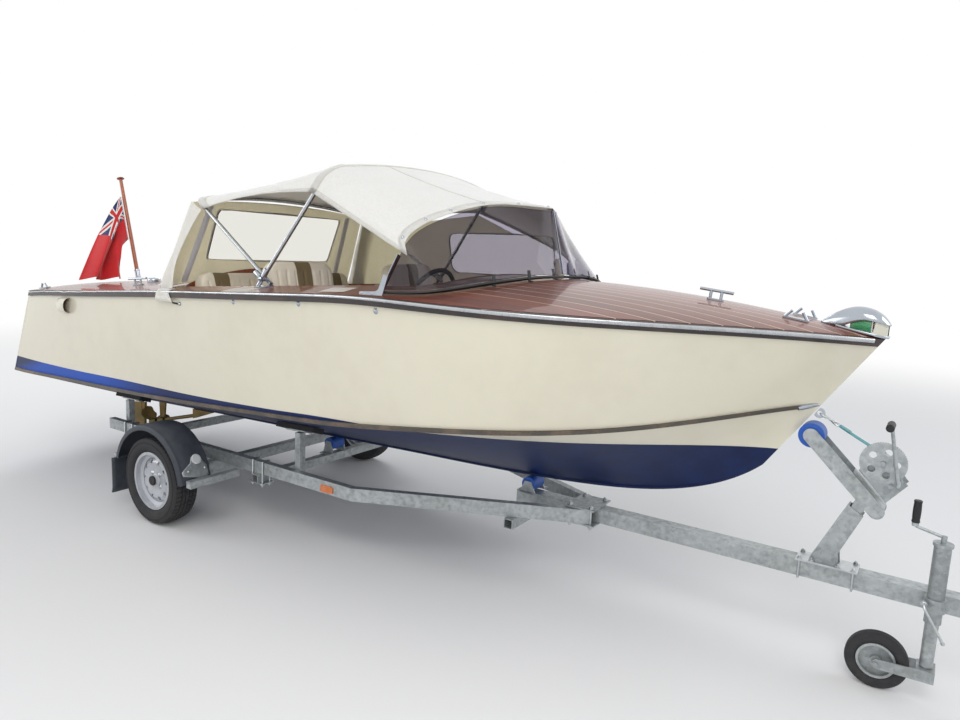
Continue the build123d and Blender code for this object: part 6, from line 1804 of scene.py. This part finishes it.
LAMPS = (  # name, place, target, size, power, colour, and whether surfaces mirror it
    ("key", (3.5, -6.0, 7.5), (-0.3, 0, 0.9), (5, 5), 245, (1.0, 0.985, 0.96), True),
    ("front", (3.1, -4.6, 2.6), (-0.9, 0.1, 1.45), (1.8, 1.8), 74, (1.0, 0.99, 0.97), False),
    ("fill", (7.5, 3.0, 4.5), (0, 0, 0.9), (5, 4), 150, (0.95, 0.975, 1.0), True),
    ("rim", (-6.5, 5.5, 6.0), (-0.5, 0, 1.0), (5, 4), 240, (1, 1, 1), True),
    ("stern", (-8.0, -4.5, 4.0), (-1.0, 0, 0.9), (4, 4), 150, (1, 1, 1), True),
)


def area_light(name, place_at, target, size, power, colour, mirrored):
    """Soft square lamp aimed at a point."""
    data = bpy.data.lights.new(name, "AREA")
    data.shape, data.size, data.size_y = "RECTANGLE", size[0], size[1]
    data.energy, data.color = power, colour
    lamp = add_object(name, data)
    lamp.location = place_at
    lamp.rotation_euler = (Vector(target) - Vector(place_at)).to_track_quat("-Z", "Y").to_euler()
    lamp.visible_glossy = mirrored


set_camera()
for settings in LAMPS:
    area_light(*settings)

FLOOR_REACH, FLOOR_SIDES, FADE_FROM, FADE_TO = 60, 64, 4.0, 13.0


def seen_rays(t):
    """Mask of the rays that reach the picture straight, through glass or by a mirror."""
    rays = t.node("LightPath").outputs
    return t.largest(*(rays[f"Is {kind} Ray"] for kind in ("Camera", "Transmission", "Glossy")))


def make_floor():
    """Pale floor that fades to white far off."""
    data = bpy.data.meshes.new("floor")
    data.from_pydata([(FLOOR_REACH * cos(a), FLOOR_REACH * sin(a), -0.0005)
                      for a in turns(FLOOR_SIDES)], [], [tuple(range(FLOOR_SIDES))])
    floor = add_object("floor", data)
    t = Finish("floor paint")
    t.put(t.shader.inputs, Base_Color=(0.80, 0.80, 0.80, 1), Roughness=0.9,
          Specular_IOR_Level=0.2)
    far_off = t.node("VectorMath", {0: t.where}, operation="LENGTH").outputs["Value"]
    fade = t.times(t.remap(far_off, FADE_FROM, FADE_TO, smooth=True), seen_rays(t))
    white = t.first("Emission", {"Color": (1, 1, 1, 1), "Strength": 1.0})
    horizon = t.first("MixShader", {0: fade, 1: t.shader.outputs[0], 2: white})
    t.tree.links.new(horizon, t.tree.nodes["Material Output"].inputs[0])
    data.materials.append(t.material)


def make_world():
    """Soft light all round, seen as white."""
    world = bpy.data.worlds.new("studio")
    bpy.context.scene.world = world
    world.use_nodes = True
    t = Graph(world.node_tree)
    t.tree.nodes.clear()
    soft = t.first("Background", {"Color": (0.93, 0.95, 1.0, 1), "Strength": 0.56})
    white = t.first("Background", {"Color": (1, 1, 1, 1), "Strength": 1.0})
    both = t.first("MixShader", {0: seen_rays(t), 1: soft, 2: white})
    t.tree.links.new(both, t.node("OutputWorld").inputs["Surface"])


make_floor()
make_world()

bpy.context.scene.view_settings.view_transform = "Standard"
bpy.context.scene.view_settings.look = "None"
bpy.context.scene.view_settings.exposure = 0.0
bpy.context.scene.view_settings.gamma = 1.0
